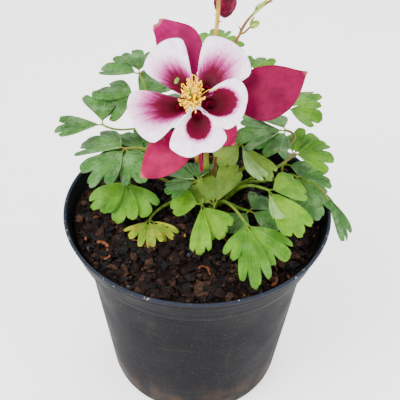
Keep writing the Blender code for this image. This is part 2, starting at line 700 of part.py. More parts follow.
def main():
    for obj in list(bpy.data.objects):
        bpy.data.objects.remove(obj)
    parts = new_collection("potted_columbine")
    cutters = new_collection("cutters")
    scraps = new_collection("scraps")
    build_pot(parts, cutters)
    build_mix(parts, cutters)
    build_crown(parts)
    leaf_green = material("leaf_green", (0.13, 0.26, 0.06), 0.55)
    feet = leaf_feet()
    for name, leaf in LEAVES.items():
        build_leaf(name, leaf, feet[name], parts, scraps, leaf_green)
    build_bloom(parts, scraps)
    build_bud(parts)
    build_spray(parts, scraps)


main()
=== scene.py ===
"""Looks for the potted columbine: fine leaves, bloom, buds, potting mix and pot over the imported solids.

Sizes and places are in millimetres and degrees, as in the part's source; MM turns them into metres.
"""

import json
import random
from collections import namedtuple
from math import atan2, cos, degrees, exp, hypot, pi, radians, sin, sqrt, tan, tau

import bmesh
import bpy
import numpy as np
from mathutils import Matrix, Vector, noise

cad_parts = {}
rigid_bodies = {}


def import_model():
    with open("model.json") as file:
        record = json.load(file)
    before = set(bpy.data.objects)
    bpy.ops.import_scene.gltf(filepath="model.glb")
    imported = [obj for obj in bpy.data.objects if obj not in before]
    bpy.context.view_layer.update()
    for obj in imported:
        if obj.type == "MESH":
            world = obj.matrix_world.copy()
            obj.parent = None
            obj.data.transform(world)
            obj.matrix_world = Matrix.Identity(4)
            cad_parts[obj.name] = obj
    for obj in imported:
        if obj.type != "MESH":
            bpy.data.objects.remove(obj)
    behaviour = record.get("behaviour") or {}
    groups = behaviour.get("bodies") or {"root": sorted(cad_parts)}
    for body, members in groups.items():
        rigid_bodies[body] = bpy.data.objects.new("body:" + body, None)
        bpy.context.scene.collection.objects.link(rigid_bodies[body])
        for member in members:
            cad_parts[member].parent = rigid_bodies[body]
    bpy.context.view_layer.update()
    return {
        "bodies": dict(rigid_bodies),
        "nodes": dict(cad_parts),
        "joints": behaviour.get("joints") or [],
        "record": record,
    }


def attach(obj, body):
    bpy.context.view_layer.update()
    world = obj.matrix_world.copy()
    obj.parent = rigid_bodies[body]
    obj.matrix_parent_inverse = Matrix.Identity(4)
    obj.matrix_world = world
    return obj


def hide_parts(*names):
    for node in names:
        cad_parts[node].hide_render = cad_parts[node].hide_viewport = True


MM = 0.001
BODY = "root"
GAP = 0.3
UP = Vector((0.0, 0.0, 1.0))

# Camera and studio
CAMERA_PLACE = Vector((1.15, -256.18, 336.06))
CAMERA_FALL = 41.3              # its view runs this far below the horizon
CAMERA_ROLL = 1.35
CAMERA_LENS = 63.0
CAMERA_SENSOR = 36.0
CAMERA_NEAREST = 10.0
STAGE_LEVEL = 1500.0            # the floor is level as far as this, and then bends up into a wall
STAGE_BEND = 900.0
STAGE_WALL = 2200.0
STAGE_STEPS = 96
WHITE = (1.0, 1.0, 1.0, 1.0)
FLOOR_TONES = ((0.86, 0.86, 0.86, 1.0), (0.90, 0.90, 0.90, 1.0))
FLOOR_GLOW = 1.0
SKY_STRENGTH = 0.85
LIGHTS = {  # place, target, size and power
    "key": ((-300, -280, 620), (0, 0, 120), 300, 5.4),
    "fill": ((520, -260, 420), (0, 0, 110), 420, 2.0),
    "rim": ((120, 480, 520), (0, 0, 120), 360, 2.0),
}

# Pot
POT_HEIGHT = 109.0
RIM_RADIUS = 65.0
BASE_RADIUS = 46.7
WALL = 1.6
FLOOR = 2.0
BAND_DEPTH = 17.0
BAND_FOOT = POT_HEIGHT - BAND_DEPTH
BAND_FOOT_RADIUS = 59.7
BODY_TOP = BAND_FOOT - 1.2      # the collar steps in to the body over this height
BODY_TOP_RADIUS = 56.2
LIP = 0.8
BEADS = (105.0, 95.6)           # heights of the two faint moulded lines round the collar
BEAD_RISE = 0.16
BEAD_SPREAD = 0.45
COLLAR_ROW = 0.3
POT_STEPS = 160
AXIS_RADIUS = 0.01
MERGE = 0.03                    # nearer points become one, as the rings at the axis do
CREASE = 50.0
DRAIN_HOLES = 6
DRAIN_RADIUS = 4.0
DRAIN_CIRCLE = 32.0
DRAIN_SIDES = 32

# Potting mix and rootstock
MIX_TOP = 102.0
MIX_LUMP = 0.9
MIX_RADIUS = 58.2
MIX_EDGE = MIX_RADIUS + 2.1
MIX_RINGS = 74
MIX_STEPS = 150
CHIP_REACH = MIX_RADIUS + 2.6   # no chip passes this, less most of its own size
CHIP_TILT = 0.45
CHIP_RARITY = 2.2               # a higher power leaves fewer large chips
FLAKE_SHAPES = 14
FLAKE_POINTS = 11
FLAKE_WIDTH = 0.72
CHIPS = {  # count, sizes, flatness, height over the mix as a share of the size, material and seed
    "chips_bark": (1500, (1.0, 5.0), 0.55, 0.15, "bark_dark", 11),
    "chips_black": (900, (0.9, 4.4), 0.6, 0.2, "bark_black", 12),
    "chips_brown": (800, (0.8, 3.8), 0.5, 0.45, "bark_brown", 13),
    "crumbs_bark": (3600, (0.35, 1.0), 0.8, 1.1, "bark_dark", 14),
    "chips_rust": (60, (0.6, 1.5), 0.4, 0.7, "bark_rust", 15),
    "crumbs_brown": (1100, (0.3, 0.8), 0.8, 1.6, "bark_brown", 16),
    "chips_grey": (26, (1.2, 2.6), 0.6, 0.5, "chip_grey", 17),
}
TAN_SEED = 18
TAN_CHIPS = (((-6.0, -17.6), 2.0), ((-21.0, -35.0), 1.1), ((44.0, -18.0), 1.0), ((20.0, 44.0), 1.6),
             ((-34.0, 30.0), 1.4), ((10.0, -52.0), 0.9))
ROOTS = (  # start, end and radius
    ((13.0, -15.6), (22.3, -37.5), 0.42), ((31.0, -34.7), (37.0, -36.4), 0.45),
    ((20.0, -38.0), (29.0, -43.0), 0.3), ((-30.0, -20.0), (-22.0, -30.0), 0.3),
    ((-5.0, 40.0), (12.0, 48.0), 0.4), ((40.0, 22.0), (46.0, 30.0), 0.35),
)
CURLS = (  # place, size, turn and thickness
    ((-44.5, -25.6), 5.0, 0.4, 0.75), ((-50.5, -21.5), 4.2, 2.0, 0.65), ((-41.0, -31.4), 4.0, 4.0, 0.6),
    ((4.0, -39.3), 4.5, 1.2, 0.7), ((-48.9, -6.0), 3.6, 3.0, 0.6), ((34.0, -45.0), 4.0, 5.0, 0.6),
    ((-12.0, 48.0), 4.4, 0.6, 0.7), ((30.0, 42.0), 4.0, 2.6, 0.6),
)
CROWN_CENTRE = Vector((4.0, 12.0, 100.0))
CROWN_RADIUS = 10.5
CROWN_FLATTEN = 0.85
FOOT_TIERS = ((64.0, 16.0), (42.0, 21.5))
STEEP = 37.5
FOOT_ROUNDS = 300
FOOT_STUB = 0.9
STEM_TIER = 15.0

# Leaves
BLADE_THICKNESS = 0.26
FOOT_RADIUS = 0.95
FORK_RADIUS = 0.55
STALK_RADIUS = 0.4
PETIOLULE = 2.4
PETIOLULE_PATH = ((-PETIOLULE / 2, 0.05), (0.0, -0.05), (1.2, -0.1))
PETIOLULE_RADII = (STALK_RADIUS, 0.36, 0.32, 0.2)
SINK = 0.6
BLADE_DROOP = 0.16
BLADE_CUP = 0.10
BLADE_TWIST = 0.22              # at most, and each leaflet has its own
BLADE_QUILT = 0.0025
BLADE_FOLD = 0.016              # between its three lobes
BLADE_WAVE = 0.035
TOOTH = 0.028
TEETH = 9.0
BLADE_RAYS = 121
BLADE_RINGS = 9
BLADE_WIDEN = 1.08              # the living leaflets overlap a little
BLADE_ROLL = 5.0                # and each lies with one side over the next

# a leaflet has its turn, length and spread, and a fourth number where it is folded over
Sprig = namedtuple("Sprig", "joint heading pitch roll cut leaflets")
Leaf = namedtuple("Leaf", "kind fork sprigs")

LEAVES = {
    "leaf_left_back": Leaf("glaucous", (-24, 33, 130), (
        Sprig((-47, 23, 138), 150, 10, -8, 0.16, ((38, 21, 30), (-50, 25, 33))),
        Sprig((-31, 51, 150), 120, 14, -10, 0.20, ((40, 19, 44), (-22, 17, 44), (-84, 10, 36))),
        Sprig((-32, 43, 142), 150, 4, -12, 0.20, ((8, 20, 46), (-100, 19, 50), (62, 19, 42))),
    )),
    "leaf_left": Leaf("glaucous", None, (
        Sprig((-35, 11, 133), 185, -8, 0, 0.22, ((-34, 25, 52), (48, 24, 40), (110, 22, 40))),
    )),
    "leaf_left_inner": Leaf("dark", None, (
        Sprig((-27, 22, 124), 155, 2, -8, 0.18, ((40, 20, 48), (-24, 18, 46), (-84, 15, 44))),
    )),
    "leaf_left_low": Leaf("bright", None, (
        Sprig((-34, 6, 117), 262, -11, 0, 0.20, ((-38, 20, 42), (-2, 21, 38), (36, 20, 40))),
    )),
    "leaf_front_left": Leaf("yellowing", None, (
        Sprig((-23, -8.6, 105), 262, 8, 0, 0.28, ((-26, 13, 36), (14, 17, 32), (54, 15, 30))),
    )),
    "leaf_front": Leaf("lime", None, (
        Sprig((2, -11, 118), 265, -12, 0, 0.07, ((-92, 12.5, 60), (4, 23, 19), (38, 17, 42))),
    )),
    "leaf_front_right_low": Leaf("glaucous", None, (
        Sprig((25, -6, 110), 350, -2, 0, 0.12, ((-118, 14, 46), (62, 13, 54), (-22, 15, 42))),
    )),
    "leaf_front_right": Leaf("bright", None, (
        Sprig((22, -26, 120.5), 300, -12, 0, 0.22, ((22, 22.5, 36), (-21, 28, 22), (-46, 17, 28))),
    )),
    "leaf_right": Leaf("lime", None, (
        Sprig((33, -8, 125), 335, -8, 0, 0.08, ((48, 17.5, 56), (-32, 25, 30), (-58, 19, 15, 168))),
    )),
    "leaf_right_low": Leaf("glaucous", (42, 17, 113), (
        Sprig((44, 22, 117), 350, -4, 0, 0.18, ((92, 11, 44), (-6, 17, 50))),
        Sprig((48, 10, 119), 325, -8, 0, 0.20, ((34, 16, 46), (-34, 24, 44))),
        Sprig((61, -2, 118), 318, -42, 0, 0.16, ((0, 23, 18),)),
    )),
    "leaf_right_back": Leaf("bright", None, (
        Sprig((45, 12, 131), 60, 5, 0, 0.22, ((26, 16, 38), (-12, 20, 44), (-62, 18, 50))),
    )),
    "leaf_right_high": Leaf("bright", None, (
        Sprig((43, 38, 140), 10, 6, 0, 0.18, ((42, 21, 40), (-34, 17, 50))),
    )),
    "leaf_back_right": Leaf("glaucous", None, (
        Sprig((41, 13.5, 144), 150, -2, 0, 0.16, ((34, 22, 50), (88, 17, 46), (-36, 17, 44))),
    )),
    "leaf_centre_right": Leaf("olive", None, (
        Sprig((20, 10, 138), 290, -8, 0, 0.10, ((16, 21, 22), (-4, 25, 15, 168), (-60, 14, 40))),
    )),
    "leaf_centre": Leaf("olive", None, (
        Sprig((8, -9.5, 116), 78, 44, 0, 0.12, ((22, 13, 46), (-16, 20, 26), (62, 13, 40))),
    )),
    "leaf_centre_left": Leaf("dark", None, (
        Sprig((0, -3.8, 126), 238, -2, 0, 0.12, ((-38, 14, 42), (-94, 15, 42), (-150, 14, 44))),
    )),
    "leaf_back": Leaf("bright", None, (
        Sprig((6, 58, 160), 80, 14, 0, 0.20, ((30, 15, 36), (-4, 17.5, 28), (-54, 15, 34))),
    )),
    "leaf_back_high": Leaf("bright", None, (
        Sprig((27, 58, 148), 70, 6, 0, 0.18, ((52, 15, 44), (0, 14.5, 40), (-50, 14, 42))),
    )),
    "leaf_back_left": Leaf("glaucous", None, (
        Sprig((-10, 56, 128), 110, -10, 0, 0.22, ((64, 19, 48), (0, 21, 46), (-64, 19, 48))),
    )),
    "leaf_back_low": Leaf("bright", None, (
        Sprig((16, 60, 120), 75, -16, 0, 0.24, ((62, 19, 48), (0, 20, 46), (-62, 19, 48))),
    )),
    "leaf_inner_back": Leaf("dark", None, (
        Sprig((-13, 35, 118), 118, -6, 0, 0.20, ((62, 15, 46), (0, 17, 44), (-62, 12, 44))),
    )),
}

# Bloom
BLOOM_CENTRE = Vector((-2.0, -12.0, 176.0))
BLOOM_HEADING = -104.0
BLOOM_RISE = 48.0
THROAT_CIRCLE = 6.1
THROAT_RADIUS = 2.5
PETAL_RISE = 7.5
PETAL_THICKNESS = 0.3
PETAL_SPOKES = 96
PETAL_ROWS = 26
PETAL_LEAST = THROAT_RADIUS + 1.0
PETAL_CORNER = 2.8              # a higher power squares the corner between the petal's tip and its sides
PETAL_RUFFLE = 0.45
PETAL_CURL = 10.0
PETAL_KINDS = {"lipped": (0.06, 3.0), "feathered": (0.75, 1.6)}  # softness and depth of the dark heart
SPUR_LENGTH = 36.0
SPUR_ROWS = 26
SPUR_BEND = 14.0                # the spurs splay from the bloom's axis over this depth
SPUR_RINGS = ((0.0, 2.5), (2.0, 1.6), (9.0, 1.35), (18.0, 0.95), (27.0, 0.6), (33.0, 0.62), (35.2, 0.6),
              (SPUR_LENGTH, 0.35))
Petal = namedtuple("Petal", "clock blade roundness layer notch shares mouth spur kind")
PETALS = {
    # shares: how far it spreads clockwise and anticlockwise; mouth: two sizes of its dark heart and how far
    # that heart is turned; spur: turn and splay
    "petal_top_right": Petal(61, 21.9, 1.0, -0.2, 0.0, (0.74, 0.62), (3.9, 8.0, -6), (0, 26), "feathered"),
    "petal_top_left": Petal(134, 20.8, 1.0, -0.5, 0.02, (0.50, 0.60), (3.6, 6.4, 20), (0, 26), "feathered"),
    "petal_left": Petal(211, 21.3, 1.0, 0.1, 0.03, (0.60, 0.74), (4.2, 8.4, -10), (0, 26), "feathered"),
    "petal_bottom": Petal(290, 19.8, 0.85, 0.8, 0.12, (0.78, 0.74), (2.3, 9.8, 6), (-20, 26), "lipped"),
    "petal_right": Petal(357, 17.0, 1.0, 1.5, 0.02, (0.78, 0.90), (4.2, 8.4, 4), (-10, 12), "lipped"),
}
SEPAL_THICKNESS = 0.35
SEPAL_ROWS = 44
SEPAL_COLUMNS = 17
CLAW_RADIUS = 9.0
CLAW_WIDTH = 2.4
Sepal = namedtuple("Sepal", "clock length width lift sweep cleft belly fullness taper kind tear")
SEPALS = {  # fullness moves the widest place outward; tear: where a torn notch lies along it
    "sepal_right": Sepal(9, 42.5, 23.4, 4.0, 12.6, 0.0, 0.08, 1.05, 1.05, "crimson", None),
    "sepal_top": Sepal(99, 32.8, 19.0, 0.0, 19.6, 1.0, 0.0, 1.0, 0.8, "magenta", None),
    "sepal_left": Sepal(190, 22.0, 12.0, -9.0, 2.0, 0.0, 0.0, 0.8, 0.8, "crimson", None),
    "sepal_bottom_left": Sepal(272, 31.0, 18.0, 1.0, -18.0, 0.0, 0.1, 0.95, 0.8, "cerise", 0.56),
    "sepal_bottom_right": Sepal(324, 19.0, 13.0, -7.0, 0.0, 0.0, 0.0, 0.8, 0.8, "cerise", None),
}
STAMENS = 104
STAMEN_LENGTH = 13.0
STAMEN_TURN = 137.5             # the golden angle spreads them evenly
STAMEN_SEED = 21
STAMEN_FAN = (4.9, 6.9)         # the boss's half width and half height
CARPELS = 5
RECEPTACLE = ((5.4, 2.7), (0.5, 2.75), (-0.6, 2.7))

# Bud, budding spray and stems
STEM_STEPS = 40
STEM_FOOT_RADIUS = 1.5
STEM_TOP_RADIUS = 1.1
BUD_TOP = Vector((7.0, 20.0, 208.0))
BUD_CENTRE = Vector((10.0, 27.5, 201.0))
BUD_RADIUS = 5.4
BUD_LENGTH = 15.0
BUD_PLEAT = 0.13
BUD_CRUMPLE = 0.07
SPRAY_JOINT = Vector((17.0, 26.0, 186.5))
BRACT_ROWS = 9

# Colours, from 0 to 255
LEAF_KINDS = {  # upper side, its second tone, spots or None, and mildew's share
    "bright": ((88, 138, 22), (56, 104, 14), None, 0.10),
    "lime": ((108, 154, 26), (76, 126, 18), None, 0.05),
    "glaucous": ((66, 114, 46), (42, 84, 34), (46, 34, 30), 0.26),
    "dark": ((46, 92, 26), (28, 64, 20), None, 0.14),
    "yellowing": ((160, 160, 30), (92, 128, 22), (140, 66, 34), 0.05),
    "olive": ((118, 146, 52), (88, 122, 36), None, 0.08),
}
MILDEW, VEIN_GREEN, UNDER_VEIN = (160, 186, 146), (140, 172, 78), (166, 192, 124)
UNDER_LIGHT, UNDER_DEEP = (140, 174, 106), (116, 154, 84)
STALK_KINDS = {  # light, deep, and the flush in patches
    "petiole": ((112, 140, 40), (74, 108, 26), (110, 84, 48)),
    "stem_tan": ((150, 150, 62), (104, 124, 40), (124, 78, 44)),
    "stem_straw": ((204, 164, 70), (168, 132, 48), (126, 78, 46)),
    "stem_brown": ((150, 116, 62), (112, 90, 42), (112, 54, 44)),
}
SEPAL_KINDS = {
    "crimson": ((120, 0, 54), (94, 0, 40)),
    "cerise": ((146, 0, 66), (118, 0, 48)),
    "magenta": ((138, 0, 76), (110, 0, 56)),
    "back": ((116, 0, 50), (86, 0, 34)),
}
# both are painted sheen: paler patches, and a pale tip
SEPAL_SHEEN, SEPAL_TIP_SHEEN = (146, 0, 78), (206, 132, 124)
PETAL_WHITE, PETAL_LILAC, PETAL_VEIN = (252, 244, 252), (240, 216, 238), (226, 176, 218)
# the heart darkens toward the throat, partly its own deeper crimson and partly painted shade of the hollow;
# the throat's colour is painted light that brightens the spur's shaded hollow
PETAL_BLUSH, PETAL_HEART, PETAL_DEEP_AND_SHADE, PETAL_THROAT_PAINTED_LIGHT = (200, 74, 156), (94, 0, 38), (54, 0, 12), (150, 0, 58)
BACK_WHITE, BACK_LILAC = (246, 232, 244), (236, 200, 226)
BACK_BLUSH, BACK_HEART = (200, 84, 150), (130, 4, 52)
POT_BLACK, POT_GREY, POT_STREAK, POT_SCRATCH = (10, 9, 13), (18, 17, 21), (40, 37, 36), (74, 67, 62)
# the lip's bluish tone is a painted highlight where the rim catches the light
POT_DUST, POT_GRIT, POT_LIP_HIGHLIGHT, POT_WORN = (78, 58, 40), (120, 108, 92), (42, 48, 60), (206, 196, 178)
SPECKLED = {  # light, deep, width of its speckles, roughness and relief
    "mix_dark": ((26, 17, 13), (9, 6, 5), 2.2, 0.95, 0.8),
    "bark_dark": ((38, 25, 20), (10, 7, 7), 1.0, 0.85, 0.5),
    "bark_black": ((20, 18, 19), (4, 4, 5), 0.8, 0.6, 0.5),
    "bark_brown": ((70, 47, 35), (30, 20, 15), 1.0, 0.9, 0.5),
    "bark_rust": ((134, 80, 50), (74, 42, 27), 0.9, 0.85, 0.4),
    "chip_tan": ((206, 156, 82), (150, 98, 48), 0.9, 0.8, 0.3),
    "chip_grey": ((70, 72, 82), (26, 27, 32), 1.0, 0.6, 0.4),
    "rootstock": ((96, 72, 44), (44, 32, 22), 1.6, 0.85, 0.7),
    "filament": ((255, 222, 0), (250, 198, 0), 0.8, 0.5, 0.1),
    "anther": ((255, 216, 0), (252, 190, 0), 0.6, 0.7, 0.2),
    "carpel": ((140, 158, 74), (96, 116, 52), 0.8, 0.6, 0.1),
    "bud": ((126, 0, 50), (62, 0, 22), 2.6, 0.55, 0.5),
    "spray_bud": ((160, 184, 92), (116, 148, 58), 1.2, 0.6, 0.2),
    "husk": ((190, 128, 92), (150, 92, 66), 1.0, 0.7, 0.2),
}


# ---- mesh helpers ----

class Gather:
    """Points, faces and coordinates of one piece, gathered before its mesh is made."""

    def __init__(self, *first):
        self.points, self.faces, self.slots, self.pattern, self.bake = [], [], [], [], []
        if first:
            self.add(*first)

    def add(self, points, faces, pattern=(), bake=(), slot=0):
        base = len(self.points)
        self.points.extend(points)
        self.faces.extend(tuple(base + i for i in face) for face in faces)
        self.slots.extend([slot] * len(faces))
        self.pattern.extend(pattern)
        self.bake.extend(bake)


def values_of(items, name, kind, width=1):
    values = np.empty(len(items) * width, dtype=kind)
    items.foreach_get(name, values)
    return values


def add_map(mesh, name, coordinates):
    """A UV map with one coordinate pair for each point."""
    corners = values_of(mesh.loops, "vertex_index", np.int32)
    values = np.asarray(coordinates, dtype=np.float32)[corners]
    mesh.uv_layers.new(name=name).data.foreach_set("uv", values.ravel())


def mesh_object(name, gather, materials=(), smooth=True):
    mesh = bpy.data.meshes.new(name)
    mesh.from_pydata([tuple(Vector(p) * MM) for p in gather.points], [], gather.faces)
    for item in materials:
        mesh.materials.append(item)
    mesh.polygons.foreach_set("material_index", gather.slots)
    if gather.pattern:
        add_map(mesh, "Pattern", gather.pattern)
        add_map(mesh, "OFBake", gather.bake)
    mesh.validate()
    mesh.update()
    if smooth:
        mesh.shade_smooth()
    obj = bpy.data.objects.new(name, mesh)
    bpy.context.scene.collection.objects.link(obj)
    return obj


def apply_modifiers(obj):
    evaluated = obj.evaluated_get(bpy.context.evaluated_depsgraph_get())
    mesh = bpy.data.meshes.new_from_object(evaluated)
    obj.modifiers.clear()
    obj.data = mesh


def thicken(obj, thickness):
    """Give the surface a thickness; its other side takes the second material."""
    solidify = obj.modifiers.new("Thickness", "SOLIDIFY")
    solidify.thickness = thickness * MM
    solidify.offset = 0.0
    solidify.material_offset = 1
    apply_modifiers(obj)
    split_bake(obj.data)


def split_bake(mesh):
    """One side keeps the left half of the bake map, and the other takes the right half."""
    slots = values_of(mesh.polygons, "material_index", np.int32)
    totals = values_of(mesh.polygons, "loop_total", np.int32)
    data = mesh.uv_layers["OFBake"].data
    values = values_of(data, "uv", np.float32, 2)
    values[0::2] = values[0::2] * 0.5 + np.repeat(slots, totals) * 0.5
    data.foreach_set("uv", values)


def place(obj, slot, node):
    """The object belongs to the plant and stands for this node, which it hides; slot is not used."""
    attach(obj, BODY)
    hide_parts(node)


def build_piece(name, gather, materials, slot, node, smooth=True, thickness=None):
    obj = mesh_object(name, gather, materials, smooth)
    if thickness:
        thicken(obj, thickness)
    place(obj, slot, node)


def grid_faces(rows, columns, closed=False):
    faces = []
    for row in range(rows - 1):
        for column in range(columns if closed else columns - 1):
            a, b = row * columns + column, row * columns + (column + 1) % columns
            faces.append((a, b, b + columns, a + columns))
    return faces


def caps(rows, sides):
    """The end faces of a tube of so many rows: at its foot, and at its top."""
    last = (rows - 1) * sides
    return [tuple(reversed(range(sides))), tuple(range(last, last + sides))]


def turns(steps):
    return [tau * step / steps for step in range(steps)]


def lathe(profile, steps, ends=()):
    """A surface that turns the profile's radii and heights about the vertical axis."""
    points = [(radius * cos(turn), radius * sin(turn), height)
              for radius, height in profile for turn in turns(steps)]
    return Gather(points, grid_faces(len(profile), steps, closed=True) + list(ends))


def direction(heading, rise):
    heading, rise = radians(heading), radians(rise)
    level = cos(rise)
    return Vector((cos(heading) * level, sin(heading) * level, sin(rise)))


def turned(turn, axis):
    return Matrix.Rotation(radians(turn), 4, axis)


def random_axis(rng):
    return Vector([rng.gauss(0, 1) for _ in range(3)]).normalized()


def scaled(vector, scale):
    return Vector([a * b for a, b in zip(vector, scale)])


def arc(start, leave, end, arrive, steps, pull=0.4):
    reach = (end - start).length * pull
    first, second = start + leave.normalized() * reach, end - arrive.normalized() * reach
    points = []
    for step in range(steps + 1):
        t = step / steps
        points.append(start * (1 - t) ** 3 + first * 3 * t * (1 - t) ** 2
                      + second * 3 * t * t * (1 - t) + end * t ** 3)
    return points


def tapered(foot, tip, count):
    return [foot + (tip - foot) * i / (count - 1) for i in range(count)]


def sweep(gather, path, radii, sides=10, ribs=0.07):
    """A limb along the path, gently ribbed lengthwise, closed at both ends."""
    across = (path[1] - path[0]).normalized().orthogonal().normalized()
    points = []
    for index, centre in enumerate(path):
        ahead = path[min(index + 1, len(path) - 1)] - path[max(index - 1, 0)]
        tangent = ahead.normalized()
        across = (across - tangent * across.dot(tangent)).normalized()
        other = tangent.cross(across)
        for side, angle in enumerate(turns(sides)):
            rib = 1.0 + ribs * cos(5.0 * angle) + ribs * noise.noise(centre * 0.35 + across * side)
            points.append(centre + (across * cos(angle) + other * sin(angle)) * (radii[index] * rib))
    gather.add(points, grid_faces(len(path), sides, closed=True) + caps(len(path), sides))


def ball(gather, centre, axis, length, radius, rings, sides, ribs=0.0, slot=0):
    """A seed-shaped solid about an axis."""
    axis = axis.normalized()
    across = axis.orthogonal().normalized()
    other = axis.cross(across)
    points = [centre - axis * length / 2]
    for ring in range(1, rings):
        turn = pi * ring / rings
        for angle in turns(sides):
            reach = radius * sin(turn) * (1.0 + ribs * cos(5.0 * angle))
            points.append(centre - axis * length / 2 * cos(turn)
                          + (across * cos(angle) + other * sin(angle)) * reach)
    points.append(centre + axis * length / 2)
    last = len(points) - 1
    faces = [(0, 1 + (side + 1) % sides, 1 + side) for side in range(sides)]
    faces += [tuple(1 + i for i in face) for face in grid_faces(rings - 1, sides, closed=True)]
    foot = 1 + (rings - 2) * sides
    faces += [(foot + side, foot + (side + 1) % sides, last) for side in range(sides)]
    gather.add(points, faces, slot=slot)


# ---- materials ----

def srgb(red, green, blue):
    """A linear colour from the usual 0 to 255 values."""
    def linear(value):
        value /= 255.0
        return value / 12.92 if value <= 0.04045 else ((value + 0.055) / 1.055) ** 2.4
    return (linear(red), linear(green), linear(blue), 1.0)


def darker(colour, share):
    return tuple(int(value * share) for value in colour)


class Shader:
    """A material with one Principled shader, whose tone is laid on coat by coat."""

    def __init__(self, name, roughness=0.6, gloss=0.12):
        self.material = bpy.data.materials.new(name)
        self.material.use_nodes = True
        self.tree = self.material.node_tree
        self.shader = self.tree.nodes["Principled BSDF"]
        self.shader.inputs["Roughness"].default_value = roughness
        self.shader.inputs["Specular IOR Level"].default_value = gloss
        self.tone = None

    def feed(self, socket, value):
        if isinstance(value, bpy.types.NodeSocket):
            self.tree.links.new(value, socket)
        else:
            socket.default_value = value

    def node(self, kind, sockets, output=0, **settings):
        """One output of a new node, whose sockets are wired or set to plain values."""
        made = self.tree.nodes.new(kind)
        for key, value in settings.items():
            setattr(made, key, value)
        for key, value in sockets.items():
            self.feed(made.inputs[key], value)
        return made.outputs[output]

    def place(self):
        return self.node("ShaderNodeTexCoord", {}, "Object")

    def pattern(self):
        return self.node("ShaderNodeUVMap", {}, "UV", uv_map="Pattern")

    def axis(self, vector, name):
        return self.node("ShaderNodeSeparateXYZ", {0: vector}, name)

    def noise(self, scale, detail=3.0, roughness=0.55, stretch=None, vector=None):
        """Noise whose features are about `scale` millimetres across."""
        vector = vector or self.place()
        if stretch:
            vector = self.node("ShaderNodeMapping", {"Vector": vector, "Scale": stretch}, "Vector")
        sockets = {"Vector": vector, "Scale": 1.0 / (scale * MM), "Detail": detail, "Roughness": roughness}
        return self.node("ShaderNodeTexNoise", sockets, "Fac")

    def math(self, operation, a, b):
        return self.node("ShaderNodeMath", {0: a, 1: b}, operation=operation)

    def times(self, a, b):
        return self.math("MULTIPLY", a, b)

    def band(self, value, low, high, start=0.0, end=1.0):
        """Smoothly from `start` at low to `end` at high."""
        sockets = {"Value": value, "From Min": low, "From Max": high, "To Min": start, "To Max": end}
        return self.node("ShaderNodeMapRange", sockets, "Result", interpolation_type="SMOOTHSTEP")

    def cloud(self, scale, low, high, start=0.0, end=1.0, **noise_settings):
        """Patches of noise, from `start` between them to `end` inside them."""
        return self.band(self.noise(scale, **noise_settings), low, high, start, end)

    def mix(self, share, first, second):
        """Two colours mixed; a plain one is given from 0 to 255, or linear with its alpha."""
        first, second = (srgb(*value) if isinstance(value, tuple) and len(value) == 3 else value
                         for value in (first, second))
        return self.node("ShaderNodeMix", {0: share, 6: first, 7: second}, 2, data_type="RGBA")

    def coat(self, share, colour):
        self.tone = self.mix(share, self.tone, colour)

    def rough(self, value):
        self.feed(self.shader.inputs["Roughness"], value)

    def finish(self, height=None, relief=0.15, strength=0.6):
        """The material, with its tone, and with a bump of this relief in millimetres."""
        self.feed(self.shader.inputs["Base Color"], self.tone)
        if height:
            sockets = {"Distance": relief * MM, "Strength": strength, "Height": height}
            self.feed(self.shader.inputs["Normal"], self.node("ShaderNodeBump", sockets, "Normal"))
        return self.material


def leaf_veins(shader):
    """1 along the veins that fan out from a leaflet's foot, 0 between them."""
    pattern = shader.pattern()
    aside = shader.math("PINGPONG", shader.axis(pattern, "X"), 0.5)
    return shader.band(shader.times(aside, shader.axis(pattern, "Y")), 0.004, 0.034, 1.0, 0.0)


def leaf_material(kind):
    light, deep, spot, mildew = LEAF_KINDS[kind]
    shader = Shader(f"leaf_{kind}", 0.55, 0.16)
    vein, grain = leaf_veins(shader), shader.noise(1.3, 5.0)
    shader.tone = shader.mix(shader.cloud(9.0, 0.35, 0.65), deep, light)
    shader.coat(shader.band(grain, 0.4, 0.75, 0.0, 0.35), darker(deep, 0.72))
    if spot:
        blots = shader.cloud(2.6, 0.565, 0.64, 0.0, 0.85, roughness=0.7)
        shader.coat(shader.times(blots, shader.cloud(14.0, 0.38, 0.54, detail=1.0)), spot)
    frost = shader.times(shader.cloud(6.5, 0.45, 0.68, detail=4.0, roughness=0.65),
                         shader.cloud(0.7, 0.3, 0.7, 0.4, 1.0))
    shader.coat(shader.times(frost, mildew), MILDEW)
    shader.coat(shader.times(vein, 0.34), VEIN_GREEN)
    shader.rough(shader.band(grain, 0.3, 0.7, 0.5, 0.72))
    return shader.finish(shader.math("SUBTRACT", shader.times(grain, 0.35), shader.times(vein, 0.8)))


def underside_material():
    shader = Shader("leaf_underside", 0.7)
    vein = leaf_veins(shader)
    shader.tone = shader.mix(shader.cloud(5.0, 0.35, 0.7, detail=4.0), UNDER_DEEP, UNDER_LIGHT)
    shader.coat(shader.times(vein, 0.5), UNDER_VEIN)
    return shader.finish(vein)


def stalk_material(name):
    light, deep, flush = STALK_KINDS[name]
    shader = Shader(name, 0.55)
    streak = shader.noise(2.2, 4.0, 0.6, stretch=(1.0, 1.0, 0.25))
    shader.tone = shader.mix(shader.band(streak, 0.35, 0.7), deep, light)
    shader.coat(shader.cloud(16.0, 0.5, 0.68, 0.0, 0.7, detail=2.0), flush)
    return shader.finish(shader.noise(0.8))


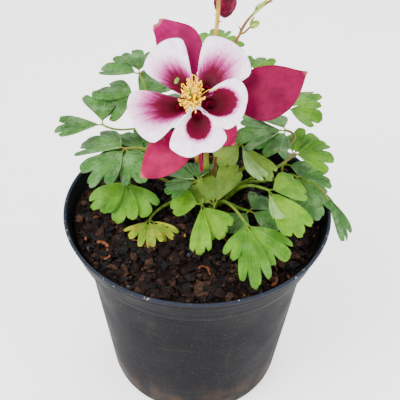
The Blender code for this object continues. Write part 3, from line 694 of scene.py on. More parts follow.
def petal_material(kind):
    """White blade with a crimson heart: sharp-edged round the mouth, or feathered out along its veins."""
    soft, _ = PETAL_KINDS[kind]
    shader = Shader(f"petal_{kind}", 0.5)
    pattern = shader.pattern()
    reach = shader.axis(pattern, "Y")
    feather = shader.noise(1.8, roughness=0.6)
    streaks = shader.noise(1000.0, roughness=0.5, stretch=(9.0, 0.7, 1.0), vector=pattern)
    ragged = shader.times(shader.math("SUBTRACT", feather, 0.5), 0.10 + 0.3 * soft)
    rays = shader.times(shader.math("SUBTRACT", streaks, 0.5), 0.16 + 0.8 * soft)
    edge = shader.math("ADD", shader.math("ADD", reach, ragged), rays)
    white = shader.mix(shader.cloud(3.0, 0.3, 0.7), PETAL_LILAC, PETAL_WHITE)
    white = shader.mix(shader.band(streaks, 0.46, 0.66, 0.0, 0.4), white, PETAL_VEIN)
    blush = shader.mix(shader.band(edge, 1.0, 1.16 + soft), PETAL_BLUSH, white)
    heart = shader.mix(shader.band(edge, 1.0 - soft * 0.4, 1.02 + soft * 0.6), PETAL_HEART, blush)
    # the heart deepens toward the throat: partly its own darker crimson, partly painted shade of the hollow
    shader.tone = shader.mix(shader.band(edge, 0.2, 1.1 - soft * 0.3), PETAL_DEEP_AND_SHADE, heart)
    # painted light: a brighter crimson inside the spur lifts the shade of its hollow
    shader.coat(shader.band(reach, -0.05, 0.15, 1.0, 0.0), PETAL_THROAT_PAINTED_LIGHT)
    return shader.finish(shader.math("ADD", shader.times(streaks, 0.5), feather), 0.12, 0.5)


def petal_back_material():
    shader = Shader("petal_back", 0.55)
    reach = shader.axis(shader.pattern(), "Y")
    wave = shader.math("ADD", reach, shader.times(shader.noise(2.0), 0.2))
    white = shader.mix(shader.cloud(2.6, 0.3, 0.7), BACK_LILAC, BACK_WHITE)
    blush = shader.mix(shader.band(wave, 0.5, 1.1), BACK_BLUSH, white)
    shader.tone = shader.mix(shader.band(wave, -0.1, 0.6), BACK_HEART, blush)
    return shader.finish(shader.noise(1.2), 0.15, 0.5)


def sepal_material(kind):
    """Velvety, with veins along its length and a paler sheen, and a painted sheen that pales its tip."""
    light, deep = SEPAL_KINDS[kind]
    shader = Shader(f"sepal_{kind}", 0.5, 0.08)
    pattern = shader.pattern()
    across = shader.math("ADD", shader.axis(pattern, "X"), shader.times(shader.noise(5.0), 0.14))
    vein = shader.band(shader.math("PINGPONG", shader.times(across, 11.0), 0.5), 0.0, 0.16, 1.0, 0.0)
    shader.tone = shader.mix(shader.cloud(8.0, 0.35, 0.68), deep, light)
    shader.coat(shader.times(vein, 0.15), darker(deep, 0.75))
    shader.coat(shader.cloud(7.0, 0.55, 0.8, 0.0, 0.22, detail=4.0, roughness=0.6), SEPAL_SHEEN)
    # painted sheen: the tip pales to a pinkish buff
    shader.coat(shader.band(shader.axis(pattern, "Y"), 0.95, 1.0, 0.0, 0.5), SEPAL_TIP_SHEEN)
    return shader.finish(shader.math("SUBTRACT", shader.noise(0.9), shader.times(vein, 0.4)), 0.12, 0.5)


def speckled(name):
    light, deep, scale, roughness, relief = SPECKLED[name]
    shader = Shader(name, roughness)
    grain = shader.noise(scale, 5.0, 0.62)
    shader.tone = shader.mix(shader.band(grain, 0.36, 0.66), deep, light)
    return shader.finish(grain, relief, 0.8)


def pot_material():
    """Black plastic: bluish pale along the lip, a painted highlight, scuffed, and dusty brown toward the
    foot.
    """
    shader = Shader("pot_plastic", 0.55, 0.04)
    height = shader.axis(shader.place(), "Z")
    haze = shader.noise(24.0, 5.0, 0.6)
    streak = shader.noise(7.0, 4.0, 0.6, stretch=(1.0, 1.0, 0.16))
    scratches = shader.noise(2.0, roughness=0.6, stretch=(0.1, 0.1, 1.5))
    lip = shader.band(height, 0.1074, 0.1086)
    shader.tone = shader.mix(shader.band(haze, 0.35, 0.68), POT_BLACK, POT_GREY)
    shader.coat(shader.band(streak, 0.56, 0.74, 0.0, 0.3), POT_STREAK)
    shader.coat(shader.band(scratches, 0.58, 0.72, 0.0, 0.14), POT_SCRATCH)
    dust = shader.times(shader.band(height, 0.030, 0.002), shader.cloud(9.0, 0.36, 0.66, detail=4.0))
    shader.coat(shader.times(dust, 0.5), POT_DUST)
    shader.coat(shader.cloud(0.9, 0.62, 0.72, 0.0, 0.3, detail=2.0, roughness=0.8), POT_GRIT)
    # painted highlight: a bluish pale band round the lip's top, where the rim catches the light
    shader.coat(shader.times(lip, 0.7), POT_LIP_HIGHLIGHT)
    scuff = shader.cloud(2.4, 0.62, 0.70, 0.0, 0.8, detail=4.0, roughness=0.7)
    shader.coat(shader.times(scuff, lip), POT_WORN)
    shader.rough(shader.band(haze, 0.3, 0.7, 0.44, 0.6))
    return shader.finish(shader.math("ADD", shader.noise(0.8, 4.0), streak), 0.08, 0.5)


# ---- pot ----

def outer_radius(height):
    if height < BAND_FOOT:
        return BASE_RADIUS + (BODY_TOP_RADIUS - BASE_RADIUS) * height / BODY_TOP
    return BAND_FOOT_RADIUS + (RIM_RADIUS - BAND_FOOT_RADIUS) * (height - BAND_FOOT) / (BAND_DEPTH - LIP)


def inner_radius(height):
    step = BAND_FOOT + WALL
    if height < step:
        return outer_radius(min(height, BODY_TOP)) - WALL
    top, foot = RIM_RADIUS - 2 * LIP, BAND_FOOT_RADIUS - WALL
    return foot + (top - foot) * (height - step) / (POT_HEIGHT - LIP - step)


def pot_profile():
    """From the lip's inner edge over it, down the outside, and in across the underside."""
    lip = POT_HEIGHT - LIP
    bends = [radians(turn) for turn in range(180, -1, -20)]
    profile = [(RIM_RADIUS - LIP + LIP * cos(turn), lip + LIP * sin(turn)) for turn in bends]
    height = lip - 2 * COLLAR_ROW
    while height > BAND_FOOT + 2 * COLLAR_ROW:
        bead = sum(BEAD_RISE * exp(-((height - at) / BEAD_SPREAD) ** 2) for at in BEADS)
        profile.append((outer_radius(height) - BEAD_RISE + bead, height))
        height -= COLLAR_ROW
    profile += [(BAND_FOOT_RADIUS - 0.1, BAND_FOOT + 0.3), (BAND_FOOT_RADIUS - 0.5, BAND_FOOT),
                (BODY_TOP_RADIUS + 0.2, BODY_TOP + 0.2), (BODY_TOP_RADIUS, BODY_TOP - 0.4)]
    profile += [(outer_radius(BODY_TOP * share), BODY_TOP * share) for share in (0.75, 0.5, 0.25, 0.03)]
    return profile + [(BASE_RADIUS - 0.15, 0.8), (BASE_RADIUS - 0.6, 0.2), (BASE_RADIUS - 1.2, 0.0)]


def build_pot():
    inside = [(AXIS_RADIUS, FLOOR), (inner_radius(FLOOR) - 1.0, FLOOR)]
    inside += [(inner_radius(height), height) for height in (FLOOR + 1.5, 30.0, 60.0, 90.0)]
    inside += [(BODY_TOP_RADIUS - WALL, BODY_TOP + WALL), (BAND_FOOT_RADIUS - WALL, BAND_FOOT + WALL)]
    inside += [(inner_radius(height), height) for height in (100.0, 105.0)]
    profile = pot_profile()
    shell = lathe(profile + [(AXIS_RADIUS, 0.0)] + inside + profile[:1], POT_STEPS)
    pot = mesh_object("pot_shell", shell, [pot_material()])
    work = bmesh.new()
    work.from_mesh(pot.data)
    bmesh.ops.remove_doubles(work, verts=work.verts, dist=MERGE * MM)
    bmesh.ops.recalc_face_normals(work, faces=work.faces)
    work.to_mesh(pot.data)
    work.free()
    for angle in turns(DRAIN_HOLES):
        cut_drain(pot, angle)
    pot.data.set_sharp_from_angle(angle=radians(CREASE))
    place(pot, "black_plastic", "pot")


def cut_drain(pot, angle):
    drill = lathe(((DRAIN_RADIUS, -FLOOR), (DRAIN_RADIUS, 3.0 * FLOOR)), DRAIN_SIDES, caps(2, DRAIN_SIDES))
    centre = Vector((cos(angle), sin(angle), 0.0)) * DRAIN_CIRCLE
    drill.points = [centre + Vector(point) for point in drill.points]
    cutter = mesh_object("drain_cutter", drill, smooth=False)
    modifier = pot.modifiers.new("Drain", "BOOLEAN")
    modifier.operation = "DIFFERENCE"
    modifier.object = cutter
    apply_modifiers(pot)
    bpy.data.objects.remove(cutter)


# ---- potting mix ----

def mix_height(x, y):
    return MIX_TOP + MIX_LUMP * (sin(0.19 * x + 0.7) * cos(0.23 * y)
                                 + 0.5 * sin(0.41 * y - 0.31 * x))


def on_mix(x, y, lift):
    return Vector((x, y, mix_height(x, y) + lift))


def build_mix():
    top = [(MIX_EDGE * ring / (MIX_RINGS - 1) + 0.02, 0.0) for ring in range(MIX_RINGS)]
    side = [(MIX_EDGE, 100.5), (BAND_FOOT_RADIUS - WALL - GAP, BAND_FOOT + WALL + GAP),
            (BODY_TOP_RADIUS - WALL - GAP, BODY_TOP + WALL + GAP),
            (inner_radius(FLOOR + 2.0) - GAP, FLOOR + 2.0),
            (inner_radius(FLOOR) - 1.5, FLOOR + GAP), (0.02, FLOOR + GAP)]
    gather = lathe(top + side, MIX_STEPS)
    for index, (x, y, _) in enumerate(gather.points[:MIX_RINGS * MIX_STEPS]):
        fine = noise.fractal(Vector((x, y, 0.0)) * 0.45, 0.8, 2.2, 4) * 0.75
        gather.points[index] = (x, y, mix_height(x, y) + fine - 0.3)
    build_piece("mix_ground", gather, [speckled("mix_dark")], "potting_mix", "potting_mix")


def flake(rng, flatness):
    """One angular chip of unit size: the hull of a few scattered points."""
    work = bmesh.new()
    for _ in range(FLAKE_POINTS):
        work.verts.new(scaled(random_axis(rng), (1.0, FLAKE_WIDTH, flatness)) * rng.uniform(0.75, 1.0))
    bmesh.ops.convex_hull(work, input=work.verts)
    bmesh.ops.delete(work, geom=[v for v in work.verts if not v.link_faces], context="VERTS")
    work.verts.index_update()
    points = [v.co.copy() for v in work.verts]
    faces = [tuple(v.index for v in f.verts) for f in work.faces]
    work.free()
    return points, faces


def scatter(count, sizes, flatness, lift, seed):
    """Chips strewn over the mix, most of them small."""
    rng = random.Random(seed)
    shapes = [flake(rng, flatness) for _ in range(FLAKE_SHAPES)]
    gather = Gather()
    for _ in range(count):
        shape, faces = shapes[rng.randrange(len(shapes))]
        size = sizes[0] + (sizes[1] - sizes[0]) * rng.random() ** CHIP_RARITY
        radius = (CHIP_REACH - 0.95 * size) * sqrt(rng.random())
        angle = rng.uniform(0.0, tau)
        turn = Matrix.Rotation(rng.uniform(0.0, tau), 3, "Z")
        for axis in "XY":
            turn = turn @ Matrix.Rotation(rng.gauss(0.0, CHIP_TILT), 3, axis)
        centre = on_mix(radius * cos(angle), radius * sin(angle), lift * size)
        gather.add([centre + turn @ point * size for point in shape], faces)
    return gather


def add_root(gather, start, end, radius):
    """A root or fibre that wanders over the mix."""
    count = 14
    phase = start[0] * 0.3
    path = []
    for index in range(count + 1):
        share = index / count
        x, y = Vector(start).lerp(Vector(end), share)
        x += 1.6 * sin(share * 7.0 + phase) + 0.8 * sin(share * 15.0 + 2.0 * phase)
        y += 1.4 * cos(share * 6.0 + phase)
        path.append(on_mix(x, y, 1.0 + 1.4 * sin(pi * share)))
    sweep(gather, path, tapered(radius, radius * 0.5, count + 1), 6)


def add_curl(gather, place, size, turn, thickness):
    """A curled strip of bark."""
    steps = 12
    points = []
    for index in range(steps + 1):
        angle = -1.9 + 3.8 * index / steps
        radial = Vector((cos(angle + turn), sin(angle + turn), 0.0)) * size * 0.5
        radial.x *= 1.0 + 0.3 * cos(turn)
        points.append(on_mix(*place, 1.2) + radial + UP * (0.35 * size * sin(angle * 0.8)))
    radii = [thickness * (1.0 - 0.35 * abs(i / steps - 0.5)) for i in range(steps + 1)]
    sweep(gather, points, radii, 7, 0.25)


def build_chips():
    barks = {name: speckled(name) for name in SPECKLED if name.startswith(("bark", "chip"))}
    pieces = {name: (scatter(*strewn, seed), barks[bark]) for name, (*strewn, bark, seed) in CHIPS.items()}
    tans = Gather()
    rng = random.Random(TAN_SEED)
    for place, size in TAN_CHIPS:
        points, faces = flake(rng, 0.45)
        tans.add([on_mix(*place, 1.4) + point * size for point in points], faces)
    pieces["chips_tan"] = tans, barks["chip_tan"]
    for name, (gather, bark) in pieces.items():
        build_piece(name, gather, [bark], "potting_mix", "potting_mix", smooth=False)
    gather = Gather()
    for root in ROOTS:
        add_root(gather, *root)
    for curl in CURLS:
        add_curl(gather, *curl)
    build_piece("roots_and_curls", gather, [barks["bark_rust"]], "potting_mix", "potting_mix")


def build_crown():
    gather = Gather()
    ball(gather, Vector(), UP, 2.0, 1.0, 26, 48)
    scale = (CROWN_RADIUS, CROWN_RADIUS, CROWN_RADIUS * CROWN_FLATTEN)
    for index, point in enumerate(gather.points):
        knob = 0.97 + 0.05 * noise.fractal(point * 3.0, 0.8, 2.0, 4)
        gather.points[index] = CROWN_CENTRE + scaled(point, scale) * knob
    build_piece("crown_knob", gather, [speckled("rootstock")], "rootstock", "crown")


# ---- leaves ----

def crown_foot(bearing, polar):
    """A point just over the crown, and the crown's normal there."""
    out = direction(bearing, 90.0 - polar)
    normal = scaled(out, (1.0, 1.0, 1.0 / CROWN_FLATTEN)).normalized()
    return CROWN_CENTRE + scaled(out * CROWN_RADIUS, (1.0, 1.0, CROWN_FLATTEN)) + normal * GAP, normal


def leaf_goal(leaf):
    """The bearing and rise from the crown to where the leaf divides."""
    goal = Vector(leaf.fork or leaf.sprigs[0].joint) - CROWN_CENTRE
    rise = atan2(goal.z, hypot(goal.x, goal.y))
    return degrees(atan2(goal.y, goal.x)) % 360.0, degrees(rise)


def spread_out(bearings, least):
    for _ in range(FOOT_ROUNDS):
        for here in range(len(bearings)):
            after = (here + 1) % len(bearings)
            lack = least - (bearings[after] - bearings[here]) % 360.0
            if lack > 0.0:
                bearings[here] -= lack / 2
                bearings[after] += lack / 2
    return bearings


def leaf_feet():
    feet = {}
    for steeper, (polar, least) in enumerate(FOOT_TIERS):
        names = [name for name, leaf in LEAVES.items() if (leaf_goal(leaf)[1] > STEEP) == bool(steeper)]
        names.sort(key=lambda name: leaf_goal(LEAVES[name])[0])
        bearings = spread_out([leaf_goal(LEAVES[name])[0] for name in names], least)
        feet.update({name: crown_foot(bearing, polar) for name, bearing in zip(names, bearings)})
    return feet


def sprig_frame(sprig):
    return (Matrix.Translation(Vector(sprig.joint)) @ turned(sprig.heading - 90.0, "Z")
            @ turned(sprig.pitch, "X") @ turned(sprig.roll, "Y"))


def sprig_forward(sprig):
    return sprig_frame(sprig).to_3x3() @ Vector((0.0, 1.0, 0.0))


def leaflet_frame(sprig, turn):
    return sprig_frame(sprig) @ turned(turn, "Z") @ Matrix.Translation((0.0, PETIOLULE, 0.0))


def margin_radius(station, cut, wobble):
    """Three rounded lobes, each with shallow rounded teeth, drawn in at the leaflet's foot."""
    station += 0.22 * noise.noise(Vector((wobble, station * 0.5, 3.0)))
    aside = abs(station)
    envelope = (1.0 - min(aside / (TEETH / 2), 1.0) ** 5.0) ** 0.5
    lobe = (aside if aside < 1.5 else aside - 3.0) / 1.5
    notch = 1.0 - (0.04 + 1.1 * cut) * abs(lobe) ** 3.2
    side = 1.0 - 0.07 * max(aside - 1.5, 0.0) / 3.0
    scallop = 1.0 - abs(cos(pi * station)) ** 0.7
    tooth = 1.0 - TOOTH * scallop * (1.0 + 0.5 * sin(wobble * 3.0 + station))
    swell = 1.0 + 0.07 * noise.noise(Vector((station * 0.45, wobble, 0.0)))
    return envelope * notch * side * tooth * swell


def blade_height(x, y, station, share, wobble):
    """A blade one unit long, cupped and drooping, quilted between its veins and waved at its margin."""
    cup = BLADE_CUP * (2.0 + 1.4 * sin(1.9 * wobble))
    twist = BLADE_TWIST * sin(1.3 * wobble + 0.6)
    return (cup * x ** 2 - BLADE_DROOP * y ** 2 + twist * x * y
            - BLADE_QUILT * cos(tau * station) * share * (1.3 - share)
            - BLADE_FOLD * share * cos(tau * station / 3.0)
            + BLADE_WAVE * share ** 2 * sin(1.1 * station + wobble * 2.1))


def add_leaflet(gather, sprig, leaflet, cell, cells, wobble):
    turn, length, spread, roll = (*leaflet, BLADE_ROLL)[:4]
    frame = leaflet_frame(sprig, turn) @ turned(roll, "Y")
    points, pattern, bake = [], [], []
    limit = TEETH / 2 * 0.992
    for ring in range(BLADE_RINGS):
        share = 0.03 + 0.97 * (ring / (BLADE_RINGS - 1)) ** 0.8
        for ray in range(BLADE_RAYS):
            station = limit * (2.0 * ray / (BLADE_RAYS - 1) - 1.0)
            angle = radians(spread * BLADE_WIDEN) * station / (TEETH / 2)
            radius = margin_radius(station, sprig.cut, wobble) * share
            x, y = radius * sin(angle), radius * cos(angle)
            height = blade_height(x, y, station, share, wobble)
            points.append(frame @ Vector((x * length, y * length, height * length)))
            pattern.append((station, radius))
            bake.append((0.5 + 0.48 * x, (cell + 0.02 + 0.96 * max(y, 0.0) / 1.08) / cells))
    gather.add(points, grid_faces(BLADE_RINGS, BLADE_RAYS), pattern, bake)


def build_leaf(name, leaf, foot, materials, stalk):
    blades, stalks = Gather(), Gather()
    start, normal = foot
    if leaf.fork:
        end = Vector(leaf.fork)
        arrive = (end - start) + UP * ((end - start).length * 0.3)
    else:
        end, arrive = Vector(leaf.sprigs[0].joint), sprig_forward(leaf.sprigs[0])
    path = [start] + arc(start + normal * FOOT_STUB, normal + UP, end, arrive, 22)
    path.append(end + arrive.normalized() * SINK)
    sweep(stalks, path, tapered(FOOT_RADIUS, FORK_RADIUS, len(path)))
    cells = sum(len(sprig.leaflets) for sprig in leaf.sprigs)
    cell = 0
    for sprig in leaf.sprigs:
        joint = Vector(sprig.joint)
        if leaf.fork:
            back = end - (joint - end).normalized() * 0.4
            path = arc(back, joint - back, joint, sprig_forward(sprig), 12)
            path.append(joint + sprig_forward(sprig) * SINK)
            sweep(stalks, path, tapered(FORK_RADIUS, STALK_RADIUS + 0.12, len(path)))
        for leaflet in sprig.leaflets:
            add_leaflet(blades, sprig, leaflet, cell, cells, cell * 1.7 + len(name))
            frame = leaflet_frame(sprig, leaflet[0])
            path = [frame @ Vector((0.0, y, z)) for y, z in PETIOLULE_PATH]
            sweep(stalks, [joint] + path, PETIOLULE_RADII, 8)
            cell += 1
    upper, under = materials[leaf.kind], materials["under"]
    build_piece(f"{name}_blades", blades, [upper, under], "leaf_green", name, thickness=BLADE_THICKNESS)
    build_piece(f"{name}_stalks", stalks, [stalk], "leaf_green", name)


def build_leaves():
    materials = {kind: leaf_material(kind) for kind in LEAF_KINDS}
    materials["under"] = underside_material()
    stalk, feet = stalk_material("petiole"), leaf_feet()
    for name, leaf in LEAVES.items():
        build_leaf(name, leaf, feet[name], materials, stalk)


# ---- bloom ----

FORWARD = direction(BLOOM_HEADING, BLOOM_RISE)
RIGHT = UP.cross(FORWARD).normalized()
ABOVE = FORWARD.cross(RIGHT)


def bloom_point(forward, right=0.0, above=0.0):
    return BLOOM_CENTRE + FORWARD * forward + RIGHT * right + ABOVE * above


def bloom_ray(clock):
    """Outward from the bloom's axis at this turn, and square to that."""
    clock = radians(clock)
    out = RIGHT * cos(clock) + ABOVE * sin(clock)
    return out, FORWARD.cross(out)


def petal_reach(angle, petal):
    """Distance from the throat's axis to the petal's rounded edge."""
    reach = PETAL_LEAST + (petal.blade - PETAL_LEAST) * ((1.0 + cos(angle)) / 2.0) ** petal.roundness
    share = petal.shares[1 if angle > 0.0 else 0]
    outward = abs(sin(angle)) - share * cos(angle)
    if outward > 0.02:
        side = share * THROAT_CIRCLE / outward
        reach = (reach ** -PETAL_CORNER + side ** -PETAL_CORNER) ** (-1.0 / PETAL_CORNER)
    dent = petal.notch * exp(-((sin(angle / 2.0) - 0.03) / 0.10) ** 2)
    waved = 1.0 + 0.014 * sin(5.0 * angle + petal.clock)
    return max(reach * waved * (1.0 - dent), PETAL_LEAST)


def mouth_reach(angle, petal):
    """Distance from the throat's axis to the edge of the petal's dark heart."""
    base, length, lean = petal.mouth
    return base + length * max(cos(angle - radians(lean)), 0.0) ** 2


def petal_height(distance, heart, share, angle, petal):
    """How far the blade stands forward: it flares, ruffles, curls back and is hollow at its heart."""
    lift = PETAL_RISE * (1.0 - exp(-(distance - THROAT_RADIUS) / 6.0))
    apart = min((distance - THROAT_RADIUS) / 4.0, 1.0)
    ruffle = PETAL_RUFFLE * sin(3.0 * angle + petal.clock) * (distance / 20.0) ** 2
    hollow = PETAL_KINDS[petal.kind][1] * apart * exp(-(heart / 0.95) ** 4)
    return lift + petal.layer * apart + ruffle - PETAL_CURL * max(share - 0.72, 0.0) ** 2 - hollow


def spur_radius(depth):
    for (low, first), (high, second) in zip(SPUR_RINGS, SPUR_RINGS[1:]):
        if depth <= high:
            return first + (second - first) * (depth - low) / (high - low)
    return SPUR_RINGS[-1][1]


def build_petal(name, petal, materials):
    """Rings of points from the blade's margin in to the throat, and on down the hollow spur."""
    out, across = bloom_ray(petal.clock)
    throat = BLOOM_CENTRE + out * THROAT_CIRCLE
    away = bloom_ray(petal.clock + petal.spur[0])[0] * tan(radians(petal.spur[1]))
    rays = [(angle, out * cos(angle) + across * sin(angle)) for angle in turns(PETAL_SPOKES)]
    points, pattern, bake = [], [], []
    for row in range(PETAL_ROWS):
        share = 1.0 - row / (PETAL_ROWS - 1)
        for angle, ray in rays:
            signed = angle if angle <= pi else angle - tau
            distance = THROAT_RADIUS + (petal_reach(signed, petal) - THROAT_RADIUS) * share ** 0.85
            heart = distance / mouth_reach(signed, petal)
            points.append(throat + ray * distance
                          + FORWARD * petal_height(distance, heart, share, signed, petal))
            pattern.append((signed, heart))
            bake.append((angle, 0.20 + 0.28 * (distance - THROAT_RADIUS) / 18.0))
    for row in range(1, SPUR_ROWS + 1):
        depth = SPUR_LENGTH * (row / SPUR_ROWS) ** 0.9
        centre = throat - FORWARD * depth + away * (depth * min(1.0, depth / SPUR_BEND))
        for angle, ray in rays:
            points.append(centre + ray * spur_radius(depth))
            pattern.append((angle, -0.1 - depth / SPUR_LENGTH))
            bake.append((angle, 0.20 * (1.0 - 0.95 * depth / SPUR_LENGTH)))
    bake = [(0.5 + spread * cos(angle), 0.5 + spread * sin(angle)) for angle, spread in bake]
    size = (PETAL_ROWS + SPUR_ROWS, PETAL_SPOKES)
    gather = Gather(points, grid_faces(*size, closed=True) + caps(*size)[1:], pattern, bake)
    build_piece(f"{name}_blade", gather, materials, "petal_white", name, thickness=PETAL_THICKNESS)


def sepal_half_width(share, sepal):
    share = max(sepal.length * share - CLAW_RADIUS, 0.0) / (sepal.length - CLAW_RADIUS)
    blade = sepal.width / 2 * max(sin(pi * share ** sepal.fullness), 0.0) ** sepal.taper
    if sepal.cleft and share > 0.75:
        blade = max(blade, 3.4 + 15.2 * (1.0 - share))
    return max(CLAW_WIDTH / 2 * (1.0 - share), blade, 0.25)


def sepal_edge(share, side, sepal):
    """The wavy margin, which a torn notch cuts into on one side."""
    edge = 1.0 + 0.03 * sin(17.0 * share + sepal.clock + 3.0 * side) - sepal.belly * side
    if sepal.tear:
        edge -= 0.5 * max(-side, 0.0) * exp(-((share - sepal.tear) / 0.035) ** 2)
    return edge


def build_sepal(name, sepal, materials):
    out, across = bloom_ray(sepal.clock)
    start = bloom_point(-5.0) + out * 3.2
    points, pattern, bake = [], [], []
    for row in range(SEPAL_ROWS):
        share = row / (SEPAL_ROWS - 1)
        middle = (start + out * sepal.length * share + across * sepal.sweep * share ** 2
                  + FORWARD * (sepal.lift * share ** 2 + 1.5 * sin(pi * share)))
        half = sepal_half_width(share, sepal)
        bend = 2.0 * sepal.sweep * share / sepal.length
        aside, along = (across - out * bend).normalized(), (out + across * bend).normalized()
        for column in range(SEPAL_COLUMNS):
            side = 2.0 * column / (SEPAL_COLUMNS - 1) - 1.0
            wave = 0.5 * sin(9.0 * share + 2.0 * side + sepal.clock) * side ** 2
            height = 0.12 * half * side ** 2 + wave * half / 10.0 + 0.12 * cos(side * 14.0)
            notch = 0.5 * exp(-((side + 0.1) / 0.3) ** 2) + 0.9 * max(abs(side) - 0.6, 0.0) / 0.4
            tuck = -1.6 * sepal.cleft * max(share - 0.85, 0.0) / 0.15 * notch
            points.append(middle + aside * (half * side * sepal_edge(share, side, sepal)) + along * tuck
                          + FORWARD * height)
            pattern.append((side * half / 10.0, share))
            bake.append((0.5 + 0.48 * side * half / (sepal.width / 2 * 1.05), 0.02 + 0.96 * share))
    gather = Gather(points, grid_faces(SEPAL_ROWS, SEPAL_COLUMNS), pattern, bake)
    build_piece(f"{name}_blade", gather, [materials["back"], materials[sepal.kind]], "sepal_crimson", name,
                thickness=SEPAL_THICKNESS)


def build_stamens():
    rng = random.Random(STAMEN_SEED)
    filaments, anthers, carpels = Gather(), Gather(), Gather()
    wide, high = STAMEN_FAN
    for index in range(STAMENS):
        out, _ = bloom_ray(index * STAMEN_TURN)
        share = sqrt((index + 0.5) / STAMENS)
        fan = (RIGHT * out.dot(RIGHT) * wide + ABOVE * out.dot(ABOVE) * high) * share
        reach = STAMEN_LENGTH * (0.98 - 0.34 * share * share) + rng.uniform(-0.9, 0.5)
        start = bloom_point(1.5) + out * (0.5 + 0.9 * share)
        bend = bloom_point(reach * 0.62) + fan * 0.5
        tip = bloom_point(reach, rng.gauss(0.4, 0.6), rng.gauss(0, 1.1) - 0.3) + fan
        path = arc(start, bend - start, tip, tip - bend, 6, 0.35)
        sweep(filaments, path, tapered(0.26, 0.17, len(path)), 5, 0.0)
        axis = FORWARD * 0.6 + random_axis(rng)
        ball(anthers, tip, axis, rng.uniform(1.2, 2.1), rng.uniform(0.26, 0.38), 6, 8)
    tip = bloom_point(8.0, 9.0, 4.0)
    path = arc(bloom_point(2.0), FORWARD + RIGHT, tip, RIGHT, 8, 0.35)
    sweep(filaments, path, tapered(0.2, 0.12, len(path)), 5, 0.0)
    ball(anthers, tip, RIGHT, 1.3, 0.4, 6, 8)
    sweep(filaments, [bloom_point(depth) for depth in (0.9, 3.0, 6.0)], (1.7, 1.6, 0.9), 14, 0.12)
    for clock in range(20, 360, 360 // CARPELS):
        out, _ = bloom_ray(clock)
        foot, tip = bloom_point(3.0) + out * 0.5, bloom_point(12.6) + out * 1.6
        path = arc(foot, FORWARD, tip, FORWARD + out, 8, 0.35)
        sweep(carpels, path, tapered(0.55, 0.15, len(path)), 7, 0.1)
    ball(carpels, bloom_point(6.5, -7.6, 5.4), ABOVE + RIGHT * 0.3, 3.0, 0.9, 7, 9, 0.1)
    for name, gather in (("filament", filaments), ("anther", anthers), ("carpel", carpels)):
        build_piece(f"{name}s", gather, [speckled(name)], "stamen_yellow", "stamens")


def build_bloom():
    fronts, back = {kind: petal_material(kind) for kind in PETAL_KINDS}, petal_back_material()
    for name, petal in PETALS.items():
        build_petal(name, petal, [fronts[petal.kind], back])
    materials = {kind: sepal_material(kind) for kind in SEPAL_KINDS}
    for name, sepal in SEPALS.items():
        build_sepal(name, sepal, materials)
    build_stamens()


# ---- stems, bud and spray ----

def stem_path(bearing, end, arrive):
    start, leave = crown_foot(bearing, STEM_TIER)
    return [start] + arc(start + leave * FOOT_STUB, leave, end, arrive, STEM_STEPS)


def add_bract(gather, foot, heading, length, width):
    """A small pointed leaf, folded along its middle."""
    heading = Vector(heading).normalized()
    across = heading.cross(UP).normalized()
    lift = across.cross(heading).normalized()
    points = []
    for row in range(BRACT_ROWS):
        share = row / (BRACT_ROWS - 1)
        middle = foot + heading * length * share + lift * 0.8 * sin(pi * share)
        half = width / 2 * sin(pi * min(0.12 + 0.88 * share, 0.985)) ** 0.8
        for side, raised in ((-1.0, 0.35), (0.0, 0.0), (1.0, 0.35), (0.0, -0.28)):
            points.append(middle + across * half * side + lift * raised * half)
    gather.add(points, grid_faces(BRACT_ROWS, 4, closed=True) + caps(BRACT_ROWS, 4))


def build_bloom_stem():
    path = stem_path(-90.0, bloom_point(-7.5), FORWARD)
    radii = tapered(STEM_FOOT_RADIUS, STEM_TOP_RADIUS, len(path)) + [radius for _, radius in RECEPTACLE]
    gather = Gather()
    sweep(gather, path + [bloom_point(-depth) for depth, _ in RECEPTACLE], radii, 16, 0.05)
    build_piece("bloom_stalk", gather, [stalk_material("stem_tan")], "stem_olive", "bloom_stem")


def build_bud(green):
    lean = Vector((0.0, 0.3, 0.5))
    climb = stem_path(150.0, BUD_TOP, lean)
    path = climb + arc(BUD_TOP, lean, BUD_CENTRE + UP * (BUD_LENGTH / 2 + 2 * GAP), -UP, 14)[1:]
    stalk, bracts = Gather(), Gather()
    sweep(stalk, path, tapered(STEM_FOOT_RADIUS - 0.2, 0.7, len(path)), 14, 0.05)
    add_bract(bracts, climb[-6], direction(10.0, 50.0), 4.2, 1.6)
    add_bract(bracts, climb[-5], direction(150.0, 60.0), 3.4, 1.2)
    rings, sides = 40, 60
    points = []
    for ring in range(rings):
        share = 0.004 + 0.992 * ring / (rings - 1)
        body = BUD_RADIUS * sin(pi * share ** 0.9) ** 0.62
        for angle in turns(sides):
            pleat = 1.0 - BUD_PLEAT * abs(sin(2.5 * angle + 1.2 * share)) ** 0.5
            place = Vector((cos(angle), sin(angle), share * 3.0)) * 1.6
            radius = body * pleat * (1.0 + BUD_CRUMPLE * noise.fractal(place, 0.8, 2.0, 4))
            points.append(BUD_CENTRE + Vector((radius * cos(angle), radius * sin(angle),
                                               BUD_LENGTH * (0.5 - share))))
    faces = [tuple(reversed(face)) for face in grid_faces(rings, sides, closed=True)]
    bud = Gather(points, faces + caps(rings, sides))
    build_piece("bud_stalk", stalk, [stalk_material("stem_straw")], "stem_tan", "bud_stem")
    build_piece("bud_bracts", bracts, [green], "spray_green", "bud_stem")
    build_piece("bud_petals", bud, [speckled("bud")], "bud_crimson", "bud")


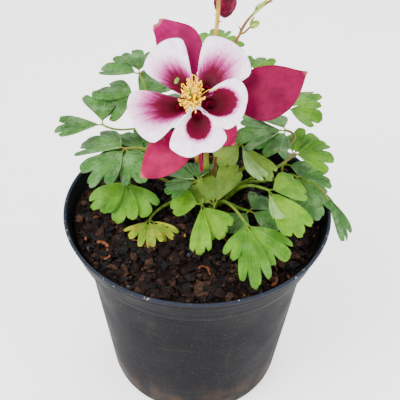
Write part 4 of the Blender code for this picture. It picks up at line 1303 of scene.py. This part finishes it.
def build_spray(green):
    lower = stem_path(30.0, SPRAY_JOINT, Vector((0.5, 0.1, 1.0)))
    end = SPRAY_JOINT + Vector((20.0, 4.0, 20.0))
    upper = arc(SPRAY_JOINT, Vector((0.3, 0.0, 1.0)), end, Vector((1.0, 0.2, 0.7)), 24)
    twig = SPRAY_JOINT + Vector((4.5, 2.0, 2.5))
    path = lower + upper[1:]
    side_path = arc(SPRAY_JOINT, Vector((1.0, 0.2, 0.1)), twig, Vector((1.0, 0.4, 0.8)), 8)
    stems, buds = Gather(), Gather()
    sweep(stems, path, tapered(STEM_FOOT_RADIUS - 0.4, 0.4, len(path)), 12, 0.05)
    sweep(stems, side_path, tapered(0.5, 0.42, len(side_path)), 8)
    ball(buds, twig + Vector((2.0, 0.5, 1.2)), Vector((4.0, 1.0, 2.4)), 5.0, 1.5, 12, 15, 0.12)
    for heading in ((0.9, 0.3, 0.2), (0.8, -0.2, 0.7), (0.5, 0.6, 0.9)):
        add_bract(buds, twig, heading, 5.6, 1.3)
    add_bract(buds, SPRAY_JOINT, (-0.3, 0.1, 1.0), 4.5, 1.5)
    tip_axis = Vector((9.0, 1.5, 4.0))
    ball(buds, end + tip_axis * 0.45, tip_axis, 9.0, 1.5, 14, 15, 0.14)
    add_bract(buds, end, (0.7, 0.1, 0.7), 6.0, 1.6)
    add_bract(buds, end - Vector((1.0, 0.2, 0.8)), (1.0, -0.2, 0.0), 4.5, 1.4)
    ball(buds, upper[8] + Vector((3.5, 0.5, 4.0)), Vector((7.0, 1.0, 8.0)), 10.0, 0.85, 12, 12, 0.12)
    add_bract(buds, upper[8] + Vector((1.5, 0.2, 1.7)), (0.5, 0.1, 0.8), 5.0, 1.3)
    add_bract(buds, upper[14], (0.9, 0.2, 0.2), 4.5, 1.4)
    ball(buds, lower[37] + Vector((1.5, 0.2, 0.6)), Vector((0.5, 0.0, 1.0)), 3.4, 1.2, 9, 11, 0.1, slot=1)
    build_piece("spray_stalk", stems, [stalk_material("stem_brown")], "stem_tan", "spray_stem")
    build_piece("spray_buds", buds, [green, speckled("husk")], "spray_green", "spray_stem")


# ---- stage, lights and camera ----

def build_stage():
    """A level floor that curves up into a wall all round, far from the plant."""
    profile = [(STAGE_LEVEL * share ** 1.5, 0.0) for share in (0.002, 0.1, 0.25, 0.4, 0.6, 0.8, 1.0)]
    profile += [(STAGE_LEVEL + STAGE_BEND * sin(turn), STAGE_BEND * (1.0 - cos(turn)))
                for turn in (pi / 2 * step / 16 for step in range(1, 17))]
    profile.append((STAGE_LEVEL + STAGE_BEND, STAGE_WALL))
    shader = Shader("studio_floor", 0.9)
    shader.tone = shader.mix(shader.noise(120.0, 2.0), *FLOOR_TONES)
    shader.shader.inputs["Emission Color"].default_value = WHITE
    shader.shader.inputs["Emission Strength"].default_value = FLOOR_GLOW
    gather = lathe(profile, STAGE_STEPS, caps(len(profile), STAGE_STEPS)[:1])
    floor = mesh_object("studio_floor", gather, [shader.finish()])


def build_lights():
    world = bpy.data.worlds.new("studio")
    bpy.context.scene.world = world
    world.use_nodes = True
    background = world.node_tree.nodes["Background"]
    background.inputs["Color"].default_value = WHITE
    background.inputs["Strength"].default_value = SKY_STRENGTH
    for name, (spot, target, size, power) in LIGHTS.items():
        data = bpy.data.lights.new(name, "AREA")
        data.shape = "DISK"
        data.size = size * MM
        data.energy = power
        light = bpy.data.objects.new(name, data)
        bpy.context.scene.collection.objects.link(light)
        light.location = Vector(spot) * MM
        light.rotation_mode = "QUATERNION"
        light.rotation_quaternion = (Vector(target) - Vector(spot)).to_track_quat("-Z", "Y")


def build_camera():
    data = bpy.data.cameras.new("camera")
    data.lens = CAMERA_LENS
    data.sensor_width = CAMERA_SENSOR
    data.clip_start = CAMERA_NEAREST * MM
    camera = bpy.data.objects.new("camera", data)
    bpy.context.scene.collection.objects.link(camera)
    camera.matrix_world = (Matrix.Translation(CAMERA_PLACE * MM) @ turned(90.0 - CAMERA_FALL, "X")
                           @ turned(CAMERA_ROLL, "Z"))
    bpy.context.scene.camera = camera


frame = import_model()
build_pot()
build_mix()
build_chips()
build_crown()
build_leaves()
build_bloom()
build_bloom_stem()
spray_green = speckled("spray_bud")
build_bud(spray_green)
build_spray(spray_green)
build_stage()
build_lights()
build_camera()
